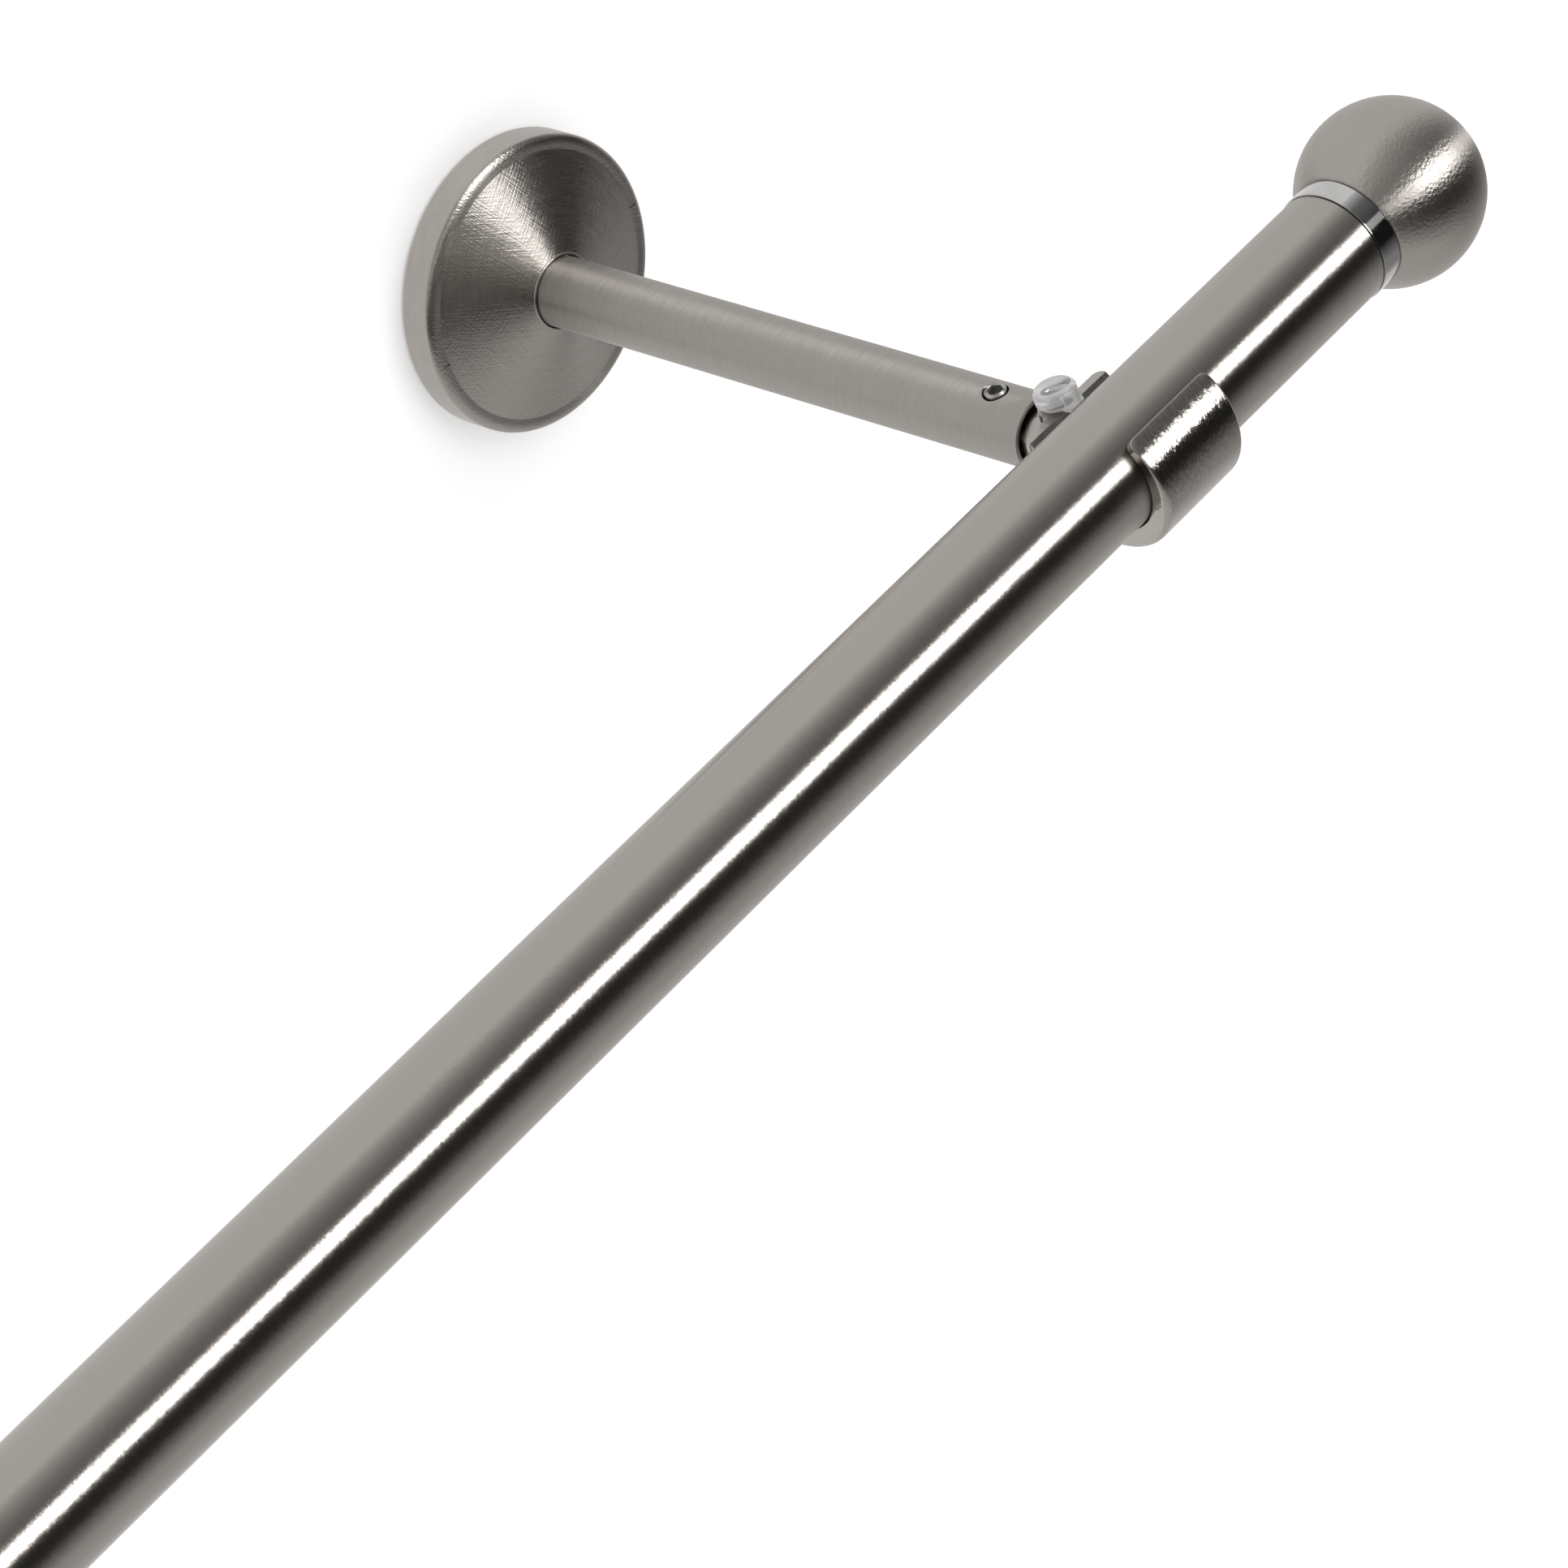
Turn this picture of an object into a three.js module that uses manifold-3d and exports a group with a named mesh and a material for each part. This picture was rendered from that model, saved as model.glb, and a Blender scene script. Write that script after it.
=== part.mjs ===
// A wall-mounted curtain rod: one round tube with a ball finial at each end, carried by two brackets.
// Each bracket is a wall plate, an arm, a rosette that covers the plate, and a hook-shaped rod holder
// whose spigot slides in the arm. Millimetres, +X along the rod, +Y to the wall, +Z up.
// The origin is the middle of the whole object. Pieces are drawn in the frame of their bracket, where
// x = 0 is the bracket's middle and y = z = 0 is the rod's axis.

import * as THREE from "three";
import { mergeVertices } from "three/addons/utils/BufferGeometryUtils.js";
import Module from "manifold-3d";

// --- Driving dimensions ---------------------------------------------------------------------------

const GAP = 0.3; // play left between pieces that touch on the real object

const ROD_LENGTH = 1200;
const ROD_RADIUS = 8;
const ROD_WALL = 1;
const ROD_OVERHANG = 42; // from a bracket's middle to the end of the tube

const WALL_DISTANCE = 113; // from the rod's axis to the wall

const HOLDER_LENGTH = 15.8;
const HOLDER_PLAY = 0.4; // radial play of the rod in the holder
const HOLDER_WALL = 2.25;
const HOLDER_SAG = 0.5; // how far the outer curve's centre lies below the rod's axis
const LIP_ANGLE = 46; // degrees the front lip reaches above the rod's axis
const LIP_WALL = 1.15;
const LIP_CORNER = 1.2;
const BACK_SETBACK = 1.2; // how far the back wall stands behind the hollow's circle
const BACK_WALL = 2.15;
const BACK_TOP = 2.2; // height of the back wall above the rod's axis
const BACK_CHAMFER = 0.65;
const BACK_CORNER = 1.4;
const HOLLOW_END = -30; // degrees below the rod's axis where the hollow leaves its circle
const SKIRT_START = 285; // degrees round the outer curve where it straightens towards the back

const ARM_RADIUS = 5;
const ARM_WALL = 0.6;
const ARM_DROP = 3.6; // the arm's axis lies this far below the rod's axis
const NECK = 4.65; // bare spigot between the holder's back and the arm's end

const SPIGOT_PLAY = 0.4;
const SPIGOT_SETTLE = 0.2; // the set screw presses the spigot down by this much
const SPIGOT_DEPTH = 30; // length of spigot inside the arm
const SPIGOT_FLAT = 1.2; // depth of the flat that the set screw bears on
const SPIGOT_FLAT_START = 2.6; // from the arm's end

const SET_SCREW_RADIUS = 1.5;
const SET_SCREW_INSET = 6.3; // from the arm's end
const SET_SCREW_PROUD = 0.3;
const SET_SCREW_KEY = 1.5; // across the flats of the hexagon socket
const SET_SCREW_KEY_DEPTH = 1.2;

const CLAMP_TILT = 6; // degrees that the clear screw leans back to the wall
const CLAMP_SHANK_RADIUS = 1.1;
const CLAMP_SHANK_LENGTH = 6;
const CLAMP_HEAD_RADIUS = 2.9;
const CLAMP_HEAD_HEIGHT = 2.5;
const CLAMP_DISH_RADIUS = 2.2;
const CLAMP_DISH_DEPTH = 0.8;
const CLAMP_LUG_WIDTH = 2.7;
const CLAMP_LUG_REACH = 3.3; // from the screw's axis towards the rod
const CLAMP_PAD_RADIUS = 2.9; // metal behind the back wall that the clear screw bites into

const COVER_RADIUS = 21.2;
const COVER_RIM = 5.3; // depth of the cylindrical rim
const COVER_SHEET = 0.8;
const COVER_EDGE = 0.8; // rounding of the rim's front edge
const COVER_BAND = 2.1; // width of the flat ring at the front
const COVER_STEP = 0.4; // depth of the step between ring and cone
const COVER_RISE = 4.5; // height of the cone above the flat ring
const COVER_STANDOFF = 0.2; // play between the rim and the wall

const PLATE_PLAY = 0.6;
const PLATE_THICKNESS = 2.5;
const PLATE_HOLE_RADIUS = 2.25;
const PLATE_HOLE_SPREAD = 13; // from the plate's middle to each wall-screw hole

const BOLT_RADIUS = 2.5;
const BOLT_HEAD_RADIUS = 4.4;
const BOLT_KEY = 3; // across the flats of the hexagon socket
const BOLT_GRIP = 11; // thread length inside the insert
const INSERT_LENGTH = 14;

const BALL_RADIUS = 12.5;
const RING_RADIUS = 8.2;
const RING_LENGTH = 2.8;
const PLUG_LENGTH = 16;
const PLUG_RIB = 0.5;
const PLUG_RIBS = 4;
const JOIN_SCREW_RADIUS = 2;
const JOIN_SCREW_HEAD_RADIUS = 3.5;
const JOIN_SCREW_HEAD_HEIGHT = 2.2;
const JOIN_SCREW_SLOT = 0.8; // width of the cross slots
const JOIN_SCREW_BITE = 8; // thread length inside the ball

const ROUND = 36; // sides of a large circle
const SMALL_ROUND = 20; // sides of a screw or a small hole

// --- Sizes that follow from them ------------------------------------------------------------------

const bracketX = ROD_LENGTH / 2 - ROD_OVERHANG;
const hollowRadius = ROD_RADIUS + HOLDER_PLAY;
const outerRadius = hollowRadius + HOLDER_WALL;
const backFront = hollowRadius + BACK_SETBACK;
const backRear = backFront + BACK_WALL;
const armFront = backRear + NECK;
const armBore = ARM_RADIUS - ARM_WALL;
const spigotRadius = armBore - SPIGOT_PLAY;
const spigotZ = -ARM_DROP - SPIGOT_SETTLE;
const plateFront = WALL_DISTANCE - PLATE_THICKNESS;
const plateRadius = COVER_RADIUS - COVER_SHEET - PLATE_PLAY;
const armBack = plateFront - GAP;
const coverBack = WALL_DISTANCE - COVER_STANDOFF;
const coverFace = coverBack - COVER_RIM;
const coverTip = coverFace - COVER_RISE;
const setScrewY = armFront + SET_SCREW_INSET;
const rodBore = ROD_RADIUS - ROD_WALL;
const joinHoleRadius = JOIN_SCREW_RADIUS + GAP;

// --- Materials ------------------------------------------------------------------------------------

const material = (color, roughness, metalness, opacity = 1) =>
  new THREE.MeshStandardMaterial({ color, roughness, metalness, opacity, transparent: opacity < 1 });

const SATIN_NICKEL = () => material(0xa39c95, 0.34, 1);
const CAST_NICKEL = () => material(0x9d968f, 0.28, 1);
const CHROME = () => material(0xc9ccd0, 0.06, 1);
const ZINC_STEEL = () => material(0xb4b7b9, 0.4, 1);
const CLEAR_PLASTIC = () => material(0xeef1f0, 0.08, 0, 0.35);
const GREY_NYLON = () => material(0x6f7173, 0.55, 0);

// --- Solids ---------------------------------------------------------------------------------------

const wasm = await Module();
wasm.setup();

// A closed geometry as a solid. Triangles that shrank to a line on a lathe's axis are dropped.
function solid(geometry) {
  const bare = geometry.clone();
  bare.deleteAttribute("normal");
  bare.deleteAttribute("uv");
  const merged = mergeVertices(bare, 1e-4);
  const corners = Array.from(merged.index.array);
  const triVerts = [];
  for (let i = 0; i < corners.length; i += 3) {
    const [a, b, c] = corners.slice(i, i + 3);
    if (a !== b && b !== c && c !== a) triVerts.push(a, b, c);
  }
  return new wasm.Manifold(
    new wasm.Mesh({
      numProp: 3,
      vertProperties: merged.attributes.position.array,
      triVerts: new Uint32Array(triVerts),
    }),
  );
}

function meshOf(name, body, look) {
  const { vertProperties, triVerts } = body.getMesh();
  const geometry = new THREE.BufferGeometry()
    .setAttribute("position", new THREE.BufferAttribute(vertProperties, 3))
    .setIndex(new THREE.BufferAttribute(triVerts, 1));
  const flat = geometry.toNonIndexed();
  flat.computeVertexNormals();
  const mesh = new THREE.Mesh(flat, look);
  mesh.name = name;
  return mesh;
}

const radians = THREE.MathUtils.degToRad;
const pair = (x, y) => new THREE.Vector2(x, y);

// Points of an arc, both ends included, angles in degrees.
function arc(centreX, centreY, radius, from, to, steps) {
  return Array.from({ length: steps + 1 }, (_, i) => {
    const angle = radians(from + ((to - from) * i) / steps);
    return pair(centreX + radius * Math.cos(angle), centreY + radius * Math.sin(angle));
  });
}

// A body of revolution about Y. The profile's points are (radius, y), counter-clockwise.
const turned = (profile, sides = ROUND) => new THREE.LatheGeometry([...profile, profile[0]], sides);

// The same about X: the profile's points are (radius, x).
const turnedAboutX = (profile, sides = ROUND) => turned(profile, sides).rotateZ(-Math.PI / 2);

// A plain cylinder about Y, and one about Z, each from a lower end to a higher one.
const barY = (radius, from, to, sides = ROUND) =>
  turned([pair(0, from), pair(radius, from), pair(radius, to), pair(0, to)], sides);
const barZ = (radius, from, to, sides = SMALL_ROUND) => barY(radius, from, to, sides).rotateX(Math.PI / 2);

// A tube about Y.
const sleeve = (outer, inner, from, to) =>
  turned([pair(inner, from), pair(outer, from), pair(outer, to), pair(inner, to)]);

// An outline in the (x, y) plane carried along Z.
const alongZ = (outline, from, to) =>
  new THREE.ExtrudeGeometry(new THREE.Shape(outline), { depth: to - from, bevelEnabled: false }).translate(
    0,
    0,
    from,
  );

// An outline in the (y, z) plane carried along X, centred on x = 0.
const yzxToXyz = new THREE.Matrix4().set(0, 0, 1, 0, 1, 0, 0, 0, 0, 1, 0, 0, 0, 0, 0, 1);
const alongX = (outline, length) => alongZ(outline, -length / 2, length / 2).applyMatrix4(yzxToXyz);

// --- Rod holder -----------------------------------------------------------------------------------

// The hook's cross-section: the hollow for the rod, the back wall, then the outer curve.
function holderOutline() {
  const lip = 180 - LIP_ANGLE;
  const hollow = arc(0, 0, hollowRadius, lip, 360 + HOLLOW_END, 24);
  const end = radians(HOLLOW_END);
  const lead = (backFront - hollowRadius * Math.cos(end)) / -Math.sin(end);
  const leadTop = hollowRadius * Math.sin(end) + lead * Math.cos(end);
  const back = [
    pair(backFront, leadTop),
    pair(backFront, BACK_TOP - BACK_CHAMFER),
    pair(backFront + BACK_CHAMFER, BACK_TOP),
    pair(backRear, BACK_TOP),
  ];
  // The skirt runs off the outer curve along its tangent to the rear face.
  const skirt = radians(SKIRT_START);
  const skirtRun = (backRear - outerRadius * Math.cos(skirt)) / -Math.sin(skirt);
  const skirtEnd = pair(backRear, -HOLDER_SAG + outerRadius * Math.sin(skirt) + skirtRun * Math.cos(skirt));
  const under = arc(0, -HOLDER_SAG, outerRadius, SKIRT_START, 180, 14);
  // The lip's curve is the circle that leaves the front upright and meets the lip's outer corner.
  const tipY = (hollowRadius + LIP_WALL) * Math.cos(radians(lip));
  const tipZ = (hollowRadius + LIP_WALL) * Math.sin(radians(lip));
  const across = tipY + outerRadius;
  const up = tipZ + HOLDER_SAG;
  const lipRadius = (across ** 2 + up ** 2) / (2 * across);
  const lipTurn = THREE.MathUtils.radToDeg(Math.asin(up / lipRadius));
  const front = arc(lipRadius - outerRadius, -HOLDER_SAG, lipRadius, 180, 180 - lipTurn, 8).slice(1);
  return [...hollow, ...back, skirtEnd, ...under, ...front];
}

// A square-ended block of the plan outline with its two rear corners rounded.
function holderPlan() {
  const half = HOLDER_LENGTH / 2;
  const inner = half - BACK_CORNER;
  const y = backRear - BACK_CORNER;
  const reach = 2 * outerRadius;
  return alongZ(
    [
      pair(-half, -reach),
      pair(half, -reach),
      ...arc(inner, y, BACK_CORNER, 0, 90, 6),
      ...arc(-inner, y, BACK_CORNER, 90, 180, 6),
    ],
    -reach,
    reach,
  );
}

// What a rounded lip corner takes away, at the +X end (side 1) or the -X end (side -1).
function lipCorner(side) {
  const past = 1;
  const round = arc(-LIP_CORNER, -LIP_CORNER, LIP_CORNER, 90, 0, 6);
  const corner = [pair(past, past), pair(-LIP_CORNER, past), ...round, pair(past, -LIP_CORNER)];
  const outline = corner.map((p) => pair(side * (p.x + HOLDER_LENGTH / 2), p.y));
  // The outline's x runs along the rod, its y along the lip's tangent, and its depth out of the lip.
  const lip = radians(LIP_ANGLE);
  const along = new THREE.Vector3(1, 0, 0);
  const upward = new THREE.Vector3(0, Math.sin(lip), Math.cos(lip));
  const outward = new THREE.Vector3(0, -Math.cos(lip), Math.sin(lip));
  const place = new THREE.Matrix4().makeBasis(along, upward, outward);
  return alongZ(outline, ROD_RADIUS, outerRadius + past).applyMatrix4(place);
}

// The clear screw is drawn along Z in a frame of its own, whose origin is where its axis meets the
// top of the back wall.
const clampFrame = new THREE.Matrix4()
  .makeRotationX(-radians(CLAMP_TILT))
  .setPosition(0, backRear, BACK_TOP);

// A half-round pad behind the back wall, flush with its top.
function clampPad() {
  const root = backRear - BACK_WALL / 2;
  const round = arc(0, backRear, CLAMP_PAD_RADIUS, 0, 180, 12);
  const outline = [pair(-CLAMP_PAD_RADIUS, root), pair(CLAMP_PAD_RADIUS, root), ...round];
  return alongZ(outline, spigotZ, BACK_TOP);
}

// The flat along the spigot's top that the set screw bears on.
function spigotFlat(spigotEnd) {
  const start = armFront + SPIGOT_FLAT_START;
  const end = spigotEnd + GAP;
  const z = spigotZ + spigotRadius - SPIGOT_FLAT;
  const half = spigotRadius + GAP;
  return alongZ([pair(-half, start), pair(half, start), pair(half, end), pair(-half, end)], z, z + half);
}

function holder() {
  const spigotEnd = armFront + SPIGOT_DEPTH;
  const spigot = barY(spigotRadius, backRear - BACK_WALL / 2, spigotEnd).translate(0, 0, spigotZ);
  const holeDepth = CLAMP_SHANK_LENGTH + GAP;
  const clampHole = barZ(CLAMP_SHANK_RADIUS + GAP, -holeDepth, BACK_TOP).applyMatrix4(clampFrame);
  return solid(alongX(holderOutline(), HOLDER_LENGTH))
    .intersect(solid(holderPlan()))
    .subtract(solid(lipCorner(1)))
    .subtract(solid(lipCorner(-1)))
    .add(solid(clampPad()))
    .add(solid(spigot).subtract(solid(spigotFlat(spigotEnd))))
    .subtract(solid(clampHole));
}

// --- Clear clamping screw -------------------------------------------------------------------------

function clampScrew() {
  const low = GAP;
  const high = low + CLAMP_HEAD_HEIGHT;
  const dish = (CLAMP_DISH_RADIUS ** 2 + CLAMP_DISH_DEPTH ** 2) / (2 * CLAMP_DISH_DEPTH);
  const spread = THREE.MathUtils.radToDeg(Math.asin(CLAMP_DISH_RADIUS / dish));
  const dishArc = arc(0, high - CLAMP_DISH_DEPTH + dish, dish, -90 + spread, -90, 5);
  const point = CLAMP_SHANK_RADIUS / 2;
  const body = turned(
    [
      pair(0, -CLAMP_SHANK_LENGTH),
      pair(CLAMP_SHANK_RADIUS - point, -CLAMP_SHANK_LENGTH),
      pair(CLAMP_SHANK_RADIUS, -CLAMP_SHANK_LENGTH + point),
      pair(CLAMP_SHANK_RADIUS, low),
      pair(CLAMP_DISH_RADIUS, low),
      pair(CLAMP_HEAD_RADIUS, low + CLAMP_HEAD_HEIGHT / 3),
      pair(CLAMP_HEAD_RADIUS, high - CLAMP_HEAD_HEIGHT / 5),
      pair((CLAMP_HEAD_RADIUS + CLAMP_DISH_RADIUS) / 2, high),
      ...dishArc,
    ],
    SMALL_ROUND,
  ).rotateX(Math.PI / 2);
  // The lug that points to the rod: a block whose front leans back towards the top.
  const lean = CLAMP_HEAD_HEIGHT / 3;
  const lug = alongX(
    [
      pair(-CLAMP_LUG_REACH, low),
      pair(-CLAMP_SHANK_RADIUS, low),
      pair(-CLAMP_SHANK_RADIUS, high - CLAMP_DISH_DEPTH),
      pair(-CLAMP_DISH_RADIUS, high),
      pair(-CLAMP_LUG_REACH + lean, high),
    ],
    CLAMP_LUG_WIDTH,
  );
  return solid(body).add(solid(lug));
}

// --- Arm and what is in it, about the arm's own axis ----------------------------------------------

function armTube() {
  const hole = barZ(SET_SCREW_RADIUS + GAP, 0, 2 * ARM_RADIUS).translate(0, setScrewY, 0);
  return solid(sleeve(ARM_RADIUS, armBore, armFront, armBack)).subtract(solid(hole));
}

const armInsert = () =>
  solid(sleeve(armBore - GAP, BOLT_RADIUS + GAP, armBack - INSERT_LENGTH, armBack - GAP));

function setScrew() {
  const top = ARM_RADIUS + SET_SCREW_PROUD;
  const tip = spigotRadius - SPIGOT_SETTLE - SPIGOT_FLAT + GAP;
  const keyRadius = SET_SCREW_KEY / Math.sqrt(3);
  const socket = barZ(keyRadius, top - SET_SCREW_KEY_DEPTH, top + GAP, 6);
  return solid(barZ(SET_SCREW_RADIUS, tip, top)).subtract(solid(socket));
}

// --- Wall plate, its bolt and the rosette, about the arm's own axis -------------------------------

function wallPlate() {
  const boltHole = BOLT_RADIUS + GAP;
  const sinkRadius = BOLT_HEAD_RADIUS + 2 * GAP;
  const disc = turned([
    pair(boltHole, plateFront),
    pair(plateRadius, plateFront),
    pair(plateRadius, WALL_DISTANCE),
    pair(sinkRadius, WALL_DISTANCE),
    pair(boltHole, WALL_DISTANCE - (sinkRadius - boltHole)),
  ]);
  // Countersunk holes for the two wall screws, side by side.
  const countersink = (x) =>
    turned(
      [
        pair(0, plateFront - GAP),
        pair(2 * PLATE_HOLE_RADIUS + GAP, plateFront - GAP),
        pair(PLATE_HOLE_RADIUS, plateFront + PLATE_HOLE_RADIUS),
        pair(PLATE_HOLE_RADIUS, WALL_DISTANCE + GAP),
        pair(0, WALL_DISTANCE + GAP),
      ],
      SMALL_ROUND,
    ).translate(x, 0, 0);
  return solid(disc)
    .subtract(solid(countersink(PLATE_HOLE_SPREAD)))
    .subtract(solid(countersink(-PLATE_HOLE_SPREAD)));
}

function plateBolt() {
  const back = WALL_DISTANCE - GAP;
  const bolt = turned(
    [
      pair(0, armBack - BOLT_GRIP),
      pair(BOLT_RADIUS, armBack - BOLT_GRIP),
      pair(BOLT_RADIUS, back - (BOLT_HEAD_RADIUS - BOLT_RADIUS)),
      pair(BOLT_HEAD_RADIUS, back),
      pair(0, back),
    ],
    SMALL_ROUND,
  );
  const socket = barY(BOLT_KEY / Math.sqrt(3), back - BOLT_RADIUS, back + GAP, 6);
  return solid(bolt).subtract(solid(socket));
}

// A pressed sheet shell: rim, flat ring, a small step, and a cone that rises to the arm.
function cover() {
  const sheet = COVER_SHEET;
  const bore = ARM_RADIUS + GAP;
  const bandInner = COVER_RADIUS - COVER_BAND;
  const stepY = coverFace + COVER_STEP;
  const edge = arc(COVER_RADIUS - COVER_EDGE, coverFace + COVER_EDGE, COVER_EDGE, 0, -90, 5);
  const coneOuter = [pair(bandInner, coverFace), pair(bandInner - COVER_STEP, stepY), pair(bore, coverTip)];
  const profile = [
    ...coneOuter.reverse(),
    ...edge.reverse(),
    pair(COVER_RADIUS, coverBack),
    pair(COVER_RADIUS - sheet, coverBack),
    pair(COVER_RADIUS - sheet, coverFace + sheet),
    pair(bandInner - COVER_STEP, stepY + sheet),
    pair(bore, coverTip + sheet),
  ];
  return solid(turned(profile));
}

// --- Rod and finial -------------------------------------------------------------------------------

const rodTube = () =>
  solid(sleeve(ROD_RADIUS, rodBore, -ROD_LENGTH / 2, ROD_LENGTH / 2).rotateZ(-Math.PI / 2));

// The finial's pieces are drawn with the tube's end at x = 0, the ball on the +X side.
const ringStart = GAP;
const ringEnd = ringStart + RING_LENGTH;
const ballStart = ringEnd + GAP;
const ballCentre = ballStart + Math.sqrt(BALL_RADIUS ** 2 - RING_RADIUS ** 2);

// A sphere cut flat where it is as wide as the ring, with a blind hole for the joining screw.
function finialBall() {
  const cut = THREE.MathUtils.radToDeg(Math.asin(RING_RADIUS / BALL_RADIUS));
  const hole = ballStart + JOIN_SCREW_BITE + GAP;
  const ball = [
    pair(joinHoleRadius, ballStart),
    ...arc(0, ballCentre, BALL_RADIUS, cut - 90, 90, 14),
    pair(0, hole),
    pair(joinHoleRadius, hole),
  ];
  return solid(turnedAboutX(ball));
}

function finialRing() {
  const ring = [
    pair(joinHoleRadius, ringStart),
    pair(RING_RADIUS, ringStart),
    pair(RING_RADIUS, ringEnd),
    pair(joinHoleRadius, ringEnd),
  ];
  return solid(turnedAboutX(ring));
}

// The plug in the tube: a core with ribs that grip the bore.
function finialPlug() {
  const tip = rodBore - GAP;
  const core = tip - PLUG_RIB;
  const pitch = PLUG_LENGTH / (PLUG_RIBS + 1);
  const rib = (_, i) => {
    const start = -PLUG_LENGTH + (i + 0.5) * pitch;
    return [
      pair(core, start),
      pair(tip, start + pitch / 4),
      pair(tip, start + pitch / 2),
      pair(core, start + (3 * pitch) / 4),
    ];
  };
  const plug = [
    pair(joinHoleRadius, -PLUG_LENGTH),
    pair(core, -PLUG_LENGTH),
    ...Array.from({ length: PLUG_RIBS }, rib).flat(),
    pair(core, 0),
    pair(joinHoleRadius, 0),
  ];
  return solid(turnedAboutX(plug, SMALL_ROUND));
}

function finialScrew() {
  const seat = -PLUG_LENGTH - GAP;
  const headEnd = seat - JOIN_SCREW_HEAD_HEIGHT;
  const tip = ballStart + JOIN_SCREW_BITE;
  const chamfer = JOIN_SCREW_HEAD_HEIGHT / 3;
  const screw = [
    pair(0, headEnd),
    pair(JOIN_SCREW_HEAD_RADIUS - chamfer, headEnd),
    pair(JOIN_SCREW_HEAD_RADIUS, headEnd + chamfer),
    pair(JOIN_SCREW_HEAD_RADIUS, seat),
    pair(JOIN_SCREW_RADIUS, seat),
    pair(JOIN_SCREW_RADIUS, tip),
    pair(0, tip),
  ];
  const slot = (width, height) =>
    solid(new THREE.BoxGeometry(JOIN_SCREW_HEAD_HEIGHT, width, height).translate(headEnd, 0, 0));
  return solid(turnedAboutX(screw, SMALL_ROUND))
    .subtract(slot(JOIN_SCREW_SLOT, JOIN_SCREW_HEAD_RADIUS))
    .subtract(slot(JOIN_SCREW_HEAD_RADIUS, JOIN_SCREW_SLOT));
}

// --- Assembly -------------------------------------------------------------------------------------

const armPieces = {
  wall_plate: [wallPlate, ZINC_STEEL],
  plate_bolt: [plateBolt, ZINC_STEEL],
  arm_insert: [armInsert, ZINC_STEEL],
  arm_tube: [armTube, SATIN_NICKEL],
  rosette_cover: [cover, SATIN_NICKEL],
};

const finialPieces = {
  finial_ball: [finialBall, SATIN_NICKEL],
  finial_ring: [finialRing, CHROME],
  finial_plug: [finialPlug, GREY_NYLON],
  finial_screw: [finialScrew, ZINC_STEEL],
};

function groupOf(pieces, side) {
  const group = new THREE.Group();
  for (const [name, [shape, look]] of Object.entries(pieces)) {
    group.add(meshOf(name + "_" + side, shape(), look()));
  }
  return group;
}

const curtainRod = new THREE.Group();
curtainRod.position.set(0, (BALL_RADIUS - WALL_DISTANCE) / 2, ARM_DROP);
curtainRod.add(meshOf("rod_tube", rodTube(), SATIN_NICKEL()));

for (const [side, direction] of [
  ["right", 1],
  ["left", -1],
]) {
  const arm = groupOf(armPieces, side);
  arm.position.z = -ARM_DROP;
  const screw = meshOf("set_screw_" + side, setScrew(), ZINC_STEEL());
  screw.position.y = setScrewY;
  arm.add(screw);

  const clamp = meshOf("clamp_screw_" + side, clampScrew(), CLEAR_PLASTIC());
  clamp.applyMatrix4(clampFrame);

  const bracket = new THREE.Group();
  bracket.position.x = direction * bracketX;
  bracket.add(arm, meshOf("rod_holder_" + side, holder(), CAST_NICKEL()), clamp);

  const finial = groupOf(finialPieces, side);
  finial.position.x = (direction * ROD_LENGTH) / 2;
  finial.rotation.z = direction > 0 ? 0 : Math.PI;
  curtainRod.add(bracket, finial);
}

export default curtainRod;
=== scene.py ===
"""A wall-mounted curtain rod with a ball finial at each end, seen at its right-hand bracket.

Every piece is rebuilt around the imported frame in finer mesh: turned pieces as profiles carried round
their axis, the rod holders as a section skinned from end to end. Lengths in this file are millimetres
in a piece's own frame, and metres once the piece is in place.
"""

import math

import bmesh
import bpy
from mathutils import Matrix, Vector


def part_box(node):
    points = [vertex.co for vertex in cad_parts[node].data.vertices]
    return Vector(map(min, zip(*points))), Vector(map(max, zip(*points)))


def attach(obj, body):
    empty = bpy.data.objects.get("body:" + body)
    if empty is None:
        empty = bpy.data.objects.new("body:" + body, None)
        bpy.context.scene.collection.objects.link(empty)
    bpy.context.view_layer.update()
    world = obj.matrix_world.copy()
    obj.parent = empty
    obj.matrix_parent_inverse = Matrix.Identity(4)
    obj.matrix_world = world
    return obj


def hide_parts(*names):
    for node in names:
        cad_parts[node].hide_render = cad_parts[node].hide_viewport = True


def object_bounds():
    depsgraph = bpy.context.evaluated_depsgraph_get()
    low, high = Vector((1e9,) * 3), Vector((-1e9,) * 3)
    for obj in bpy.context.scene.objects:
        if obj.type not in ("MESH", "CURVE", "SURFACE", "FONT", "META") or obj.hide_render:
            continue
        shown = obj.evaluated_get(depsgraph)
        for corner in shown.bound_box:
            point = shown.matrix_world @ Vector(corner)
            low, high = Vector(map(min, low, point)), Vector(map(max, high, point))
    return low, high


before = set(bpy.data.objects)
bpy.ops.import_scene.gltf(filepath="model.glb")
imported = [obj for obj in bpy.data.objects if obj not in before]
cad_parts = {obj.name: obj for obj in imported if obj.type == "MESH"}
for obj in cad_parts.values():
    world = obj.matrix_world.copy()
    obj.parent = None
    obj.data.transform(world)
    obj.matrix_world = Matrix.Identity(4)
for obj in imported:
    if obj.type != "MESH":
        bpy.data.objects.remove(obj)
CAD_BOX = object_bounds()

MM = 0.001

# --- Sizes that the frame's boxes don't give, in millimetres ---------------------------------------

ROD_WALL = 1.0
ARM_WALL = 0.6
TUBE_BREAK = 0.12  # the tiny bevel on a cut tube's edges

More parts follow.
